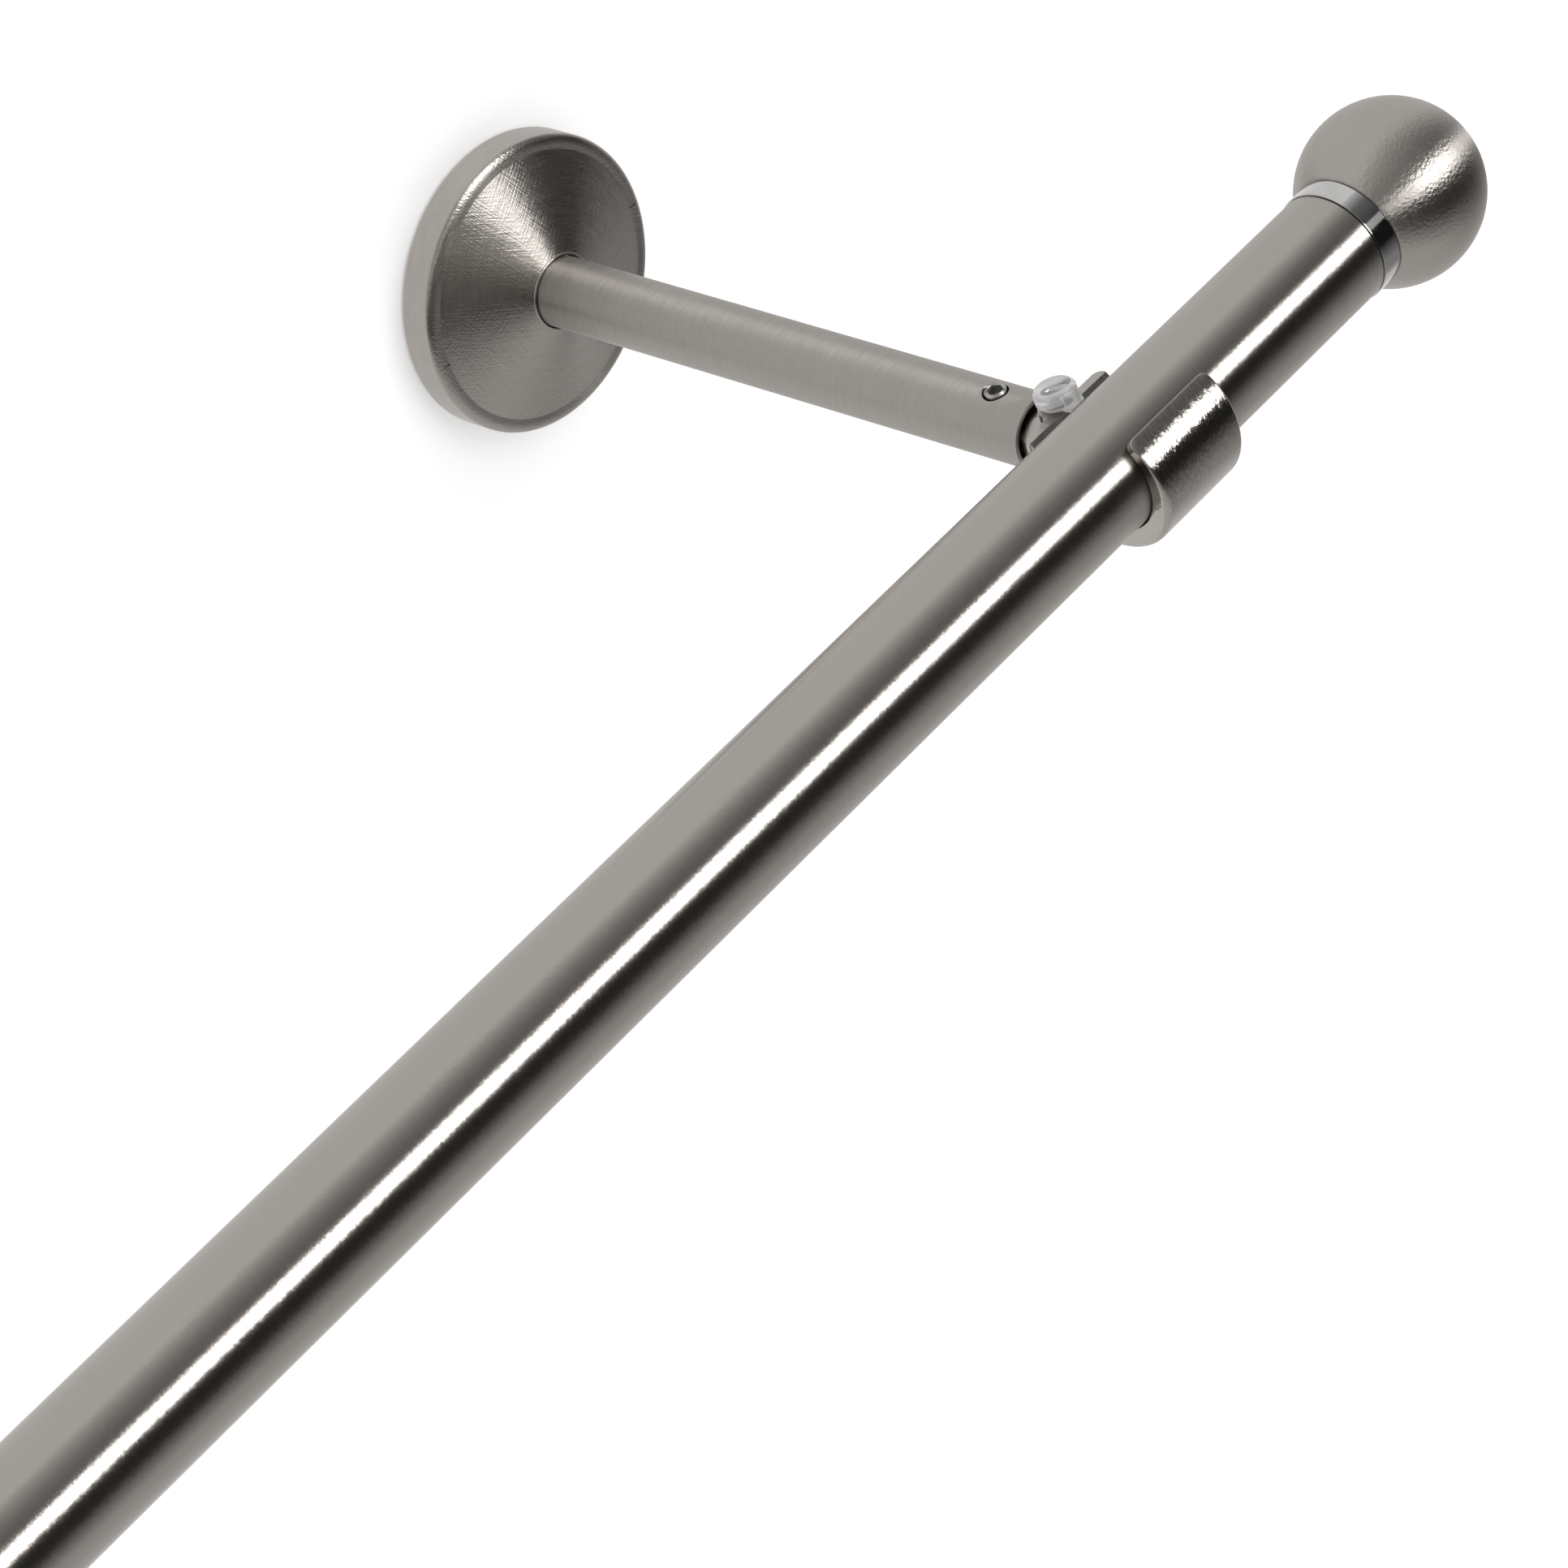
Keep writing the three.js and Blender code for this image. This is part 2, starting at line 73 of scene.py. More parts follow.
HOLLOW_RADIUS = 8.4
HOLLOW_LIFT = 0.3  # so that the rod all but rests on the bottom of the hollow
HOOK_WALL = 2.25
HOOK_SAG = 0.5  # the outer curve's centre lies this far below the rod's axis
LIP_ANGLE = 46.0  # degrees that the lip reaches above the rod's axis
LIP_WALL = 1.15
LIP_CORNER = 1.2
LIP_EDGE = 0.16
HOOK_EDGE = 0.9  # rounding between the end faces and the outer curve
HOLLOW_EDGE = 0.18
HOLLOW_END = -30.0  # degrees, where the hollow goes straight on to the back wall
HOLLOW_STEPS = 44
SKIRT_START = 285.0  # degrees, where the outer curve goes straight on to the back wall
# How far from an end face the holder's sections lie, closest together where its roundings bend most.
END_DEPTHS = (0, 0.02, 0.06, 0.12, 0.2, 0.3, 0.42, 0.56, 0.72, 0.9, 1.05, 1.2, 1.4)
BACK_FRONT = 9.6
BACK_REAR = 11.75
BACK_TOP = 2.2
BACK_CHAMFER = 0.8
BACK_CORNER = 1.4
BACK_SOFTENING = (0.3, 0.12, 0.12, 0.2, 0.5)  # at its corners, from the hollow's end to its foot
PAD_RADIUS = 2.9
PAD_STEP = 0.15  # the pad is this much lower than the back wall
SPIGOT_RADIUS = 4.0
SPIGOT_FLAT = 1.2
SPIGOT_FLAT_START = 7.25  # behind the back wall
SPIGOT_CHAMFER = 0.5
CLAMP_HOLE_RADIUS = 1.4
CLAMP_HOLE_DEPTH = 6.3

CLAMP_TILT = 6.0
CLAMP_SHANK_RADIUS = 1.1
CLAMP_SHANK_LENGTH = 6.0
CLAMP_HEAD_RADIUS = 2.9
CLAMP_HEAD_LOW = 0.3
CLAMP_HEAD_HIGH = 2.8
CLAMP_HEAD_FOOT = (0.76, 0.8)  # the foot's share of the head's radius, and how far up it widens
CLAMP_HEAD_TAPER = (0.88, 0.45)  # the top's share of the head's radius, and how far down it starts
CLAMP_DISH = (2.15, 1.3, 1.35)  # half sizes of the lens-shaped dish
CLAMP_DISH_TURN = -27.0
CLAMP_DISH_PLACE = (0.1, -0.35)
CLAMP_LUG_WIDTH = 3.0
CLAMP_LUG_REACH = 3.3
CLAMP_LUG_ROOT = 0.6  # where the lug starts, inside the head
CLAMP_LUG_LEAN = 0.7
CLAMP_LUG_EDGE = 0.2

SET_SCREW_RADIUS = 1.5
SET_SCREW_KEY = 1.95
SET_SCREW_KEY_DEPTH = 1.7
SET_SCREW_CHAMFER = 0.3

COVER_RIM_EDGE = 0.9  # depth of the rim's rounded edge
COVER_EDGE_REACH = 1.5  # and how far it reaches in over the band
COVER_BAND = 2.1
COVER_RISE = 4.5
COVER_SHEET = 0.8
COVER_BEAD = 0.4  # width of the small rolled edge round the arm
COVER_NOTCH = (1.2, 0.2, 0.5)  # length along the radius, width, depth

PLATE_BOLT_HOLE = 2.8
PLATE_SINK_RADIUS = 5.0
PLATE_HOLE_RADIUS = 2.25
PLATE_SINK_GROWTH = 0.3  # a wall screw's countersink is this much over twice its hole's radius
PLATE_HOLE_SPREAD = 13.0
BOLT_RADIUS = 2.5
BOLT_KEY = 3.0
BOLT_KEY_DEPTH = 2.5
INSERT_BORE = 2.8

RING_GROOVE = 0.09  # the dark line left at each end of the ring
RING_BREAK = 0.08
JOIN_HOLE_RADIUS = 2.3
JOIN_HOLE_DEPTH = 8.3
JOIN_SCREW_RADIUS = 2.0
JOIN_SCREW_HEAD = 2.2
JOIN_SCREW_SLOT = 0.8
PLUG_RIB = 0.5
PLUG_RIBS = 4

OVERLAP = 1.0  # how far joined solids reach into each other, and cutters out past a face

# Sides of a circle, from the most visible to the least.
VERY_FINE = 192
FINE = 160
FAIR = 128
MEDIUM = 72
SMALL = 40

# --- Node helpers ----------------------------------------------------------------------------------


class Nodes:
    """A short way to write a node tree: each call adds one node and links what it is given."""

    def __init__(self, tree):
        self.tree = tree
        tree.nodes.clear()

    def add(self, kind, inputs=None, **settings):
        node = self.tree.nodes.new(kind)
        for key, value in settings.items():
            setattr(node, key, value)
        for key, value in (inputs or {}).items():
            self.feed(node.inputs[key], value)
        return node

    def feed(self, socket, value):
        if isinstance(value, bpy.types.NodeSocket):
            self.tree.links.new(value, socket)
        else:
            socket.default_value = value

    def math(self, operation, first, second=0.0):
        return self.add("ShaderNodeMath", {0: first, 1: second}, operation=operation).outputs[0]

    def span(self, value, low, high, to_low=0.0, to_high=1.0):
        inputs = {"Value": value, "From Min": low, "From Max": high}
        inputs.update({"To Min": to_low, "To Max": to_high})
        return self.add("ShaderNodeMapRange", inputs).outputs["Result"]

    def noise(self, vector, scale, detail=2.0, roughness=0.5):
        inputs = {"Vector": vector, "Scale": scale, "Detail": detail, "Roughness": roughness}
        return self.add("ShaderNodeTexNoise", inputs).outputs["Fac"]

    def ramp(self, value, stops):
        node = self.add("ShaderNodeValToRGB", {"Fac": value})
        elements = node.color_ramp.elements
        while len(elements) > 1:
            elements.remove(elements[-1])
        elements[0].position = stops[0][0]
        elements[0].color = (*[stops[0][1]] * 3, 1)
        for position, level in stops[1:]:
            elements.new(position).color = (*[level] * 3, 1)
        return node.outputs["Color"]

    def tint(self, factor, dark, light):
        """A mix of two colours, each a triple or a socket."""
        node = self.add("ShaderNodeMix", data_type="RGBA")
        for socket, value in ((0, factor), (6, dark), (7, light)):
            self.feed(node.inputs[socket], (*value, 1) if isinstance(value, (tuple, list)) else value)
        return node.outputs[2]


def new_material(name):
    material = bpy.data.materials.new(name)
    material.use_nodes = True
    return material, Nodes(material.node_tree)


def output(nodes, shader):
    nodes.add("ShaderNodeOutputMaterial", {"Surface": shader.outputs[0]})


# --- Materials -------------------------------------------------------------------------------------

NICKEL = (0.43, 0.402, 0.372)
NOISE_SPAN = (0.3, 0.7)  # the part of its range that a noise mostly fills
# Length round the axis and width across it of the two kinds of brush stroke, in metres.
THIN_STROKE = (0.0035, 0.00018)
BROAD_STROKE = (0.005, 0.0007)
THIN_SHARE = 0.65
SCRATCH_TURNS = (28, 62, 121)  # degrees, the ways that a finishing cloth went over a face
SCRATCH_SCALE = (300, 4200, 300)  # per metre: long one way, thin the other


def brushed_metal(
    name,
    roughness,
    anisotropy,
    run=(1.0, 0.0),
    fine=4e-6,
    tooth=2e-5,
    tooth_size=(0.0010, 0.00030),
    shades=(0.97, 1.08),
    scratches=0.0,
    ends=0.0,
):
    """Nickel brushed round its own Z axis, so that reflections spread along the axis.

    run says how a stroke's place counts height and radius. fine, tooth and scratches are reliefs in
    metres: of the long strokes, of the short grains that break up the edge of a reflection, and of
    the crossing marks of a hand-finished face. tooth_size is a grain's length round the axis and its
    width across. shades are the darkest and lightest strokes, as shares of the nickel's colour. A
    face square to the axis has the roughness in ends, where that isn't zero.
    """
    material, n = new_material(name)
    coordinates = n.add("ShaderNodeTexCoord")
    place = coordinates.outputs["Object"]
    x, y, z = n.add("ShaderNodeSeparateXYZ", {0: place}).outputs
    radius = n.math("SQRT", n.math("ADD", n.math("MULTIPLY", x, x), n.math("MULTIPLY", y, y)))
    place_along = n.math("ADD", n.math("MULTIPLY", z, run[0]), n.math("MULTIPLY", radius, run[1]))

    def strokes(length, width, detail):
        """Noise whose grains are that long round the axis and that wide across it, in metres."""
        inputs = {"X": n.math("DIVIDE", x, length), "Y": n.math("DIVIDE", y, length)}
        inputs["Z"] = n.math("DIVIDE", place_along, width)
        return n.noise(n.add("ShaderNodeCombineXYZ", inputs).outputs[0], 1.0, detail)

    thin = strokes(*THIN_STROKE, 3.0)
    broad = strokes(*BROAD_STROKE, 2.0)
    teeth = strokes(*tooth_size, 2.0)
    broad_part = n.math("MULTIPLY", broad, 1 - THIN_SHARE)
    grain = n.math("ADD", n.math("MULTIPLY", thin, THIN_SHARE), broad_part)
    height = n.math("ADD", n.math("MULTIPLY", thin, fine), n.math("MULTIPLY", teeth, tooth))
    if scratches:
        for turn in SCRATCH_TURNS:
            turned_place = n.add("ShaderNodeVectorRotate", {"Vector": place, "Angle": math.radians(turn)})
            inputs = {"Vector": turned_place.outputs[0], "Scale": SCRATCH_SCALE}
            marks = n.noise(n.add("ShaderNodeMapping", inputs).outputs[0], 1.0, 1.0)
            height = n.math("ADD", height, n.math("MULTIPLY", marks, scratches))
    bump = n.add("ShaderNodeBump", {"Height": height, "Strength": 1.0, "Distance": 1.0})
    rough = n.span(grain, *NOISE_SPAN, roughness * 0.88, roughness * 1.12)
    if ends:
        facing = n.add("ShaderNodeSeparateXYZ", {0: coordinates.outputs["Normal"]}).outputs["Z"]
        square = n.span(n.math("ABSOLUTE", facing), 0.9, 0.98)
        change = n.math("MULTIPLY", square, n.math("SUBTRACT", ends, rough))
        rough = n.math("ADD", rough, change)
    dark, light = ([c * shade for c in NICKEL] for shade in shades)
    inputs = {
        "Base Color": n.tint(n.span(grain, *NOISE_SPAN), dark, light),
        "Roughness": rough,
        "Normal": bump.outputs[0],
        "Metallic": 1.0,
        "Anisotropic": anisotropy,
        "Anisotropic Rotation": 0.25,
        "Tangent": n.add("ShaderNodeTangent", direction_type="RADIAL", axis="Z").outputs[0],
    }
    output(n, n.add("ShaderNodeBsdfPrincipled", inputs))
    return material


def polished_chrome():
    material, n = new_material("polished_chrome")
    place = n.add("ShaderNodeTexCoord").outputs["Object"]
    haze = n.noise(place, 300.0, 4.0)
    pits = n.noise(place, 2600.0, 2.0)
    bump = n.add("ShaderNodeBump", {"Height": pits, "Strength": 0.08, "Distance": 0.00001})
    inputs = {
        "Base Color": n.tint(n.span(haze, 0.35, 0.65), (0.51, 0.508, 0.502), (0.56, 0.558, 0.552)),
        "Roughness": n.span(haze, *NOISE_SPAN, 0.03, 0.09),
        "Normal": bump.outputs[0],
        "Metallic": 1.0,
    }
    output(n, n.add("ShaderNodeBsdfPrincipled", inputs))
    return material


def zinc_steel():
    """Zinc-plated steel: a bright, faintly mottled, slightly rough metal."""
    material, n = new_material("zinc_steel")
    place = n.add("ShaderNodeTexCoord").outputs["Object"]
    mottle = n.noise(place, 700.0, 4.0, 0.65)
    grain = n.noise(place, 6000.0, 2.0)
    bump = n.add("ShaderNodeBump", {"Height": grain, "Strength": 0.25, "Distance": 0.00002})
    inputs = {
        "Base Color": n.tint(n.span(mottle, *NOISE_SPAN), (0.38, 0.375, 0.365), (0.52, 0.515, 0.50)),
        "Roughness": n.span(mottle, *NOISE_SPAN, 0.28, 0.44),
        "Normal": bump.outputs[0],
        "Metallic": 1.0,
    }
    output(n, n.add("ShaderNodeBsdfPrincipled", inputs))
    return material


def clear_plastic():
    """Clear moulded plastic with faint flow lines, a slightly uneven surface and painted shade in its
    dish.
    """
    material, n = new_material("clear_plastic")
    place = n.add("ShaderNodeTexCoord").outputs["Object"]
    flow = n.noise(place, 700.0, 3.0, 0.6)
    bump = n.add("ShaderNodeBump", {"Height": flow, "Strength": 1.0, "Distance": 0.00007})
    x, y, z = n.add("ShaderNodeSeparateXYZ", {0: place}).outputs
    radius = n.math("SQRT", n.math("ADD", n.math("MULTIPLY", x, x), n.math("MULTIPLY", y, y)))
    # Painted shade: the dish is painted darker towards its bottom, standing in for the shade and dark
    # refraction inside it.
    in_dish = n.span(radius, 0.0023, 0.0020)
    sunk = n.span(z, (CLAMP_HEAD_HIGH - 0.05) * MM, (CLAMP_HEAD_HIGH - 0.6) * MM)
    shade = n.math("MULTIPLY", n.math("MULTIPLY", in_dish, sunk), 0.55)
    pale = n.tint(n.span(flow, *NOISE_SPAN), (0.82, 0.82, 0.82), (0.92, 0.92, 0.92))
    inputs = {
        # The dark mix towards (0.25, 0.25, 0.26) is the dish's painted shade.
        "Base Color": n.tint(shade, pale, (0.25, 0.25, 0.26)),
        "Roughness": n.span(flow, *NOISE_SPAN, 0.05, 0.12),
        "Normal": bump.outputs[0],
        "Transmission Weight": 0.55,
        "IOR": 1.49,
    }
    output(n, n.add("ShaderNodeBsdfPrincipled", inputs))
    return material


def grey_nylon():
    material, n = new_material("grey_nylon")
    place = n.add("ShaderNodeTexCoord").outputs["Object"]
    skin = n.noise(place, 5200.0, 3.0)
    patch = n.noise(place, 260.0, 2.0)
    bump = n.add("ShaderNodeBump", {"Height": skin, "Strength": 0.3, "Distance": 0.00004})
    inputs = {
        "Base Color": n.tint(n.span(patch, *NOISE_SPAN), (0.14, 0.142, 0.146), (0.19, 0.192, 0.196)),
        "Roughness": n.span(skin, *NOISE_SPAN, 0.42, 0.58),
        "Normal": bump.outputs[0],
    }
    output(n, n.add("ShaderNodeBsdfPrincipled", inputs))
    return material


TUBE = brushed_metal("satin_nickel_tube", 0.33, 1.0)
ARM = brushed_metal("satin_nickel_arm", 0.36, 0.97, fine=1.2e-5, tooth=3e-5, shades=(0.87, 1.15))
BALL = brushed_metal(
    "satin_nickel_ball", 0.38, 0.93, run=(1.0, -0.35), tooth=4.6e-5, tooth_size=(0.00046, 0.00038)
)
ROSETTE = brushed_metal(
    "satin_nickel_rosette",
    0.31,
    0.85,
    run=(0.6, 1.0),
    fine=5e-6,
    tooth=8e-6,
    shades=(0.92, 1.12),
    scratches=2.4e-5,
)
CAST = brushed_metal(
    "cast_nickel", 0.25, 0.96, tooth=7e-5, tooth_size=(0.0012, 0.00034), shades=(0.94, 1.05), ends=0.11
)
CHROME = polished_chrome()
ZINC = zinc_steel()
CLEAR = clear_plastic()
NYLON = grey_nylon()

# --- Outlines --------------------------------------------------------------------------------------


def arc(centre_x, centre_y, radius, start, end, steps):
    """Points of an arc with both its ends, angles in degrees."""
    angles = [math.radians(start + (end - start) * i / steps) for i in range(steps + 1)]
    return [(centre_x + radius * math.cos(a), centre_y + radius * math.sin(a)) for a in angles]


def rounded(points, radius, steps=4, closed=True):
    """The outline with each corner replaced by a small curve. Corners on the turning axis stay."""
    result = []
    count = len(points)
    for i, point in enumerate(points):
        here = Vector(point)
        before = Vector(points[i - 1])
        after = Vector(points[(i + 1) % count])
        at_end = not closed and i in (0, count - 1)
        if at_end or abs(here.x) < 1e-6:
            result.append(tuple(here))
            continue
        back = before - here
        ahead = after - here
        half = back.angle(ahead) / 2
        if half > math.radians(85):
            result.append(tuple(here))
            continue
        reach = min(radius / math.tan(half), 0.45 * back.length, 0.45 * ahead.length)
        start = here + back.normalized() * reach
        end = here + ahead.normalized() * reach
        for k in range(steps + 1):
            t = k / steps
            spot = start * (1 - t) ** 2 + here * 2 * t * (1 - t) + end * t**2
            result.append(tuple(spot))
    return result


# --- Mesh helpers ----------------------------------------------------------------------------------

# Turns X to Y, Y to Z and Z to X.
CYCLE = Matrix(((0, 0, 1, 0), (1, 0, 0, 0), (0, 1, 0, 0), (0, 0, 0, 1)))


def make_object(name, bm):
    bmesh.ops.recalc_face_normals(bm, faces=bm.faces)
    mesh = bpy.data.meshes.new(name)
    bm.to_mesh(mesh)
    bm.free()
    obj = bpy.data.objects.new(name, mesh)
    bpy.context.scene.collection.objects.link(obj)
    return obj


def turned(name, profile, sides=FINE, closed=True):
    """A body of revolution about Z. The profile's points are (radius, height), in millimetres."""
    bm = bmesh.new()
    rings = []
    for radius, height in profile:
        if abs(radius) < 1e-6:
            rings.append([bm.verts.new((0, 0, height * MM))])
            continue
        spots = [math.tau * k / sides for k in range(sides)]
        ring = [(radius * math.cos(a) * MM, radius * math.sin(a) * MM, height * MM) for a in spots]
        rings.append([bm.verts.new(p) for p in ring])
    pairs = list(zip(rings, rings[1:]))
    if closed:
        pairs.append((rings[-1], rings[0]))
    for low, high in pairs:
        if len(low) == 1 and len(high) == 1:
            continue
        for k in range(sides):
            corners = []
            for ring in (low, high):
                corners.append(ring[k % len(ring)])
                corners.append(ring[(k + 1) % len(ring)])
            a, b, c, d = corners
            face = [v for j, v in enumerate((a, b, d, c)) if v not in (a, b, d, c)[:j]]
            bm.faces.new(face)
    return make_object(name, bm)


def skinned(name, sections):
    """A solid through sections of equal point counts: each is (outline, height) along Z."""
    bm = bmesh.new()
    loops = []
    for outline, height in sections:
        loops.append([bm.verts.new((x * MM, y * MM, height * MM)) for x, y in outline])
    count = len(loops[0])
    for low, high in zip(loops, loops[1:]):
        for k in range(count):
            after = (k + 1) % count
            bm.faces.new((low[k], low[after], high[after], high[k]))
    bm.faces.new(loops[0][::-1])
    bm.faces.new(loops[-1])
    return make_object(name, bm)


def prism(name, outline, low, high):
    return skinned(name, [(outline, low), (outline, high)])


def polygon(radius, sides, turn=0.0):
    angles = [math.radians(turn) + math.tau * k / sides for k in range(sides)]
    return [(radius * math.cos(a), radius * math.sin(a)) for a in angles]


def transform(obj, matrix):
    """Moves the mesh itself, in the object's own frame."""
    obj.data.transform(matrix)
    return obj


def shift(obj, x=0.0, y=0.0, z=0.0):
    return transform(obj, Matrix.Translation(Vector((x, y, z)) * MM))


def apply_modifiers(obj):
    depsgraph = bpy.context.evaluated_depsgraph_get()
    evaluated = obj.evaluated_get(depsgraph)
    mesh = bpy.data.meshes.new_from_object(evaluated, preserve_all_data_layers=True, depsgraph=depsgraph)
    old = obj.data
    obj.modifiers.clear()
    obj.data = mesh
    bpy.data.meshes.remove(old)
    return obj


def combine(obj, other, operation):
    """A boolean of two solids. The second one is used up."""
    modifier = obj.modifiers.new(operation.lower(), "BOOLEAN")
    modifier.object = other
    modifier.operation = operation
    modifier.solver = "EXACT"
    bpy.context.view_layer.update()
    apply_modifiers(obj)
    bpy.data.objects.remove(other)
    return obj


def shaded(obj, angle=28.0):
    """Smooth faces, with edges sharper than the angle kept crisp and large faces left true."""
    bm = bmesh.new()
    bm.from_mesh(obj.data)
    for face in bm.faces:
        face.smooth = True
    for edge in bm.edges:
        flat = len(edge.link_faces) != 2 or edge.calc_face_angle(0.0) > math.radians(angle)
        edge.smooth = not flat
    bm.to_mesh(obj.data)
    bm.free()
    modifier = obj.modifiers.new("normals", "WEIGHTED_NORMAL")
    modifier.keep_sharp = True
    modifier.weight = 90
    return apply_modifiers(obj)


# --- Where things are ------------------------------------------------------------------------------


def middle(node):
    low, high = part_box(node)
    return (low + high) / 2


def half_size(node):
    low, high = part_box(node)
    return (high - low) / 2 / MM


ROD_AXIS = middle("rod_tube")
ROD_RADIUS = half_size("rod_tube").z
ROD_HALF_LENGTH = half_size("rod_tube").x

# A piece's own Z axis laid along the rod, against it, and along the arm towards the wall.
ALONG_ROD = Matrix(((0, 0, 1), (1, 0, 0), (0, 1, 0)))
AGAINST_ROD = Matrix(((0, 0, -1), (-1, 0, 0), (0, 1, 0)))
TO_WALL = Matrix(((0, 1, 0), (0, 0, 1), (1, 0, 0)))
UPRIGHT = Matrix.Identity(3)


def copy_of(obj, name):
    twin = bpy.data.objects.new(name, obj.data.copy())
    bpy.context.scene.collection.objects.link(twin)
    return twin


def settle(obj, node, body, material, origin, turn):
    """Puts a piece in place of its CAD node, on its body, with its material."""
    obj.name = node + "_look"
    obj.data.name = obj.name
    obj.data.materials.clear()
    obj.data.materials.append(material)
    obj.matrix_world = Matrix.Translation(origin) @ turn.to_4x4()
    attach(obj, body)
    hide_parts(node)


# --- Rod holder ------------------------------------------------------------------------------------


def hook_section(depth):
    """The hook's outline at that distance from its end face, as (towards the wall, up) points."""

    def worn(size):
        """How far a rounding of that size draws the outline in."""
        left = max(0.0, size - depth)
        return size - math.sqrt(size**2 - left**2)

    hollow = HOLLOW_RADIUS + worn(HOLLOW_EDGE)
    outer = HOLLOW_RADIUS + HOOK_WALL
    lip = 180 - LIP_ANGLE + math.degrees(worn(LIP_CORNER) / HOLLOW_RADIUS)
    inside = arc(0, HOLLOW_LIFT, hollow, lip, 360 + HOLLOW_END, HOLLOW_STEPS)
    end = math.radians(HOLLOW_END)
    front = BACK_FRONT + worn(HOLLOW_EDGE)
    lead = (front - hollow * math.cos(end)) / -math.sin(end)
    rear = BACK_REAR - worn(BACK_CORNER)
    top = BACK_TOP - worn(HOLLOW_EDGE)
    back = [
        (front, HOLLOW_LIFT + hollow * math.sin(end) + lead * math.cos(end)),
        (front, top - BACK_CHAMFER),
        (front + BACK_CHAMFER, top),
        (rear, top),
    ]
    skirt = math.radians(SKIRT_START)
    run = (BACK_REAR - outer * math.cos(skirt)) / -math.sin(skirt)
    foot = -HOOK_SAG + outer * math.sin(skirt) + run * math.cos(skirt) + worn(HOOK_EDGE)
    # The rounding of the outer edge fades towards the thin lip.
    tip_y = (HOLLOW_RADIUS + LIP_WALL) * math.cos(math.radians(lip))
    tip_z = HOLLOW_LIFT + (HOLLOW_RADIUS + LIP_WALL) * math.sin(math.radians(lip))
    across = tip_y + outer
    up = tip_z + HOOK_SAG
    lip_radius = (across**2 + up**2) / (2 * across)
    lip_turn = math.degrees(math.asin(up / lip_radius))
    under = arc(0, -HOOK_SAG, outer - worn(HOOK_EDGE), SKIRT_START, 180, 36)
    steps = 14
    front_curve = []
    for i in range(1, steps + 1):
        share = i / steps
        drawn = worn(HOOK_EDGE * (1 - share) + LIP_EDGE * share)
        angle = math.radians(180 - lip_turn * share)
        reach = lip_radius - drawn
        spot = (lip_radius - outer + reach * math.cos(angle), -HOOK_SAG + reach * math.sin(angle))
        front_curve.append(spot)
    outline = [*inside, *back, (rear, foot), *under, *front_curve]
    return soften(outline)


def soften(outline):
    """Rounds the lip's two long edges and the back wall's corners a little."""
    count = len(outline)
    wanted = {0: LIP_EDGE, count - 1: LIP_EDGE}
    wanted.update(enumerate(BACK_SOFTENING, HOLLOW_STEPS + 1))
    result = []
    for i, point in enumerate(outline):
        if i not in wanted:
            result.append(point)
            continue
        here = Vector(point)
        back = Vector(outline[i - 1]) - here
        ahead = Vector(outline[(i + 1) % count]) - here
        reach = min(wanted[i], 0.45 * back.length, 0.45 * ahead.length)
        start = here + back.normalized() * reach
        end = here + ahead.normalized() * reach
        for k in range(5):
            t = k / 4
            result.append(tuple(start * (1 - t) ** 2 + here * 2 * t * (1 - t) + end * t**2))
    return result


def tilt_frame():
    """The clear screw's own frame, inside the holder's: its axis leans back to the wall."""
    lean = math.radians(CLAMP_TILT)
    axis = Vector((math.sin(lean), math.cos(lean), 0))
    across = Vector((0, 0, 1))
    side = axis.cross(across)
    turn = Matrix((across, side, axis)).transposed()
    if turn.determinant() < 0:
        turn = Matrix((across, -side, axis)).transposed()
    return Matrix.Translation(Vector((BACK_REAR, BACK_TOP, 0)) * MM) @ turn.to_4x4()


def holder(node, arm_drop, spigot_end):
    """The hook with its back wall, the pad behind it and the spigot, drawn with Z along the rod."""
    half = half_size(node).x
    near = [(hook_section(d), -half + d) for d in END_DEPTHS]
    far = [(hook_section(d), half - d) for d in reversed(END_DEPTHS)]
    hook = skinned(node + "_hook", near + far)
    spigot_z = -arm_drop
    start = BACK_REAR - OVERLAP
    pad = arc(BACK_REAR, 0, PAD_RADIUS, -90, 90, 24)
    pad = [(start, -PAD_RADIUS), *pad, (start, PAD_RADIUS)]
    block = prism("pad", pad, 0, BACK_TOP - PAD_STEP - spigot_z)
    # The pad's outline is (towards the wall, along the rod), carried upwards.
    stand = Matrix(((1, 0, 0, 0), (0, 0, 1, 0), (0, 1, 0, 0), (0, 0, 0, 1)))
    transform(block, stand)
    block.data.flip_normals()
    shift(block, y=spigot_z)
    profile = [(0, start), (SPIGOT_RADIUS, start), (SPIGOT_RADIUS, spigot_end - SPIGOT_CHAMFER)]
    profile += [(SPIGOT_RADIUS - SPIGOT_CHAMFER, spigot_end), (0, spigot_end)]
    spigot = turned("spigot", profile, MEDIUM, closed=False)
    transform(spigot, CYCLE)
    shift(spigot, y=spigot_z)
    flat_low = SPIGOT_RADIUS - SPIGOT_FLAT
    flat_start = BACK_REAR + SPIGOT_FLAT_START
    flat_end = spigot_end + OVERLAP
    beyond = SPIGOT_RADIUS + OVERLAP
    corners = [(flat_start, flat_low), (flat_end, flat_low), (flat_end, beyond), (flat_start, beyond)]
    flat = shift(prism("flat", corners, -beyond, beyond), y=spigot_z)
    combine(spigot, flat, "DIFFERENCE")
    combine(hook, block, "UNION")
    combine(hook, spigot, "UNION")
    hole = [(0, -CLAMP_HOLE_DEPTH), (CLAMP_HOLE_RADIUS, -CLAMP_HOLE_DEPTH)]
    hole += [(CLAMP_HOLE_RADIUS, OVERLAP), (0, OVERLAP)]
    drill = transform(turned("drill", hole, SMALL, closed=False), tilt_frame())
    combine(hook, drill, "DIFFERENCE")
    return shaded(hook, 24.0)


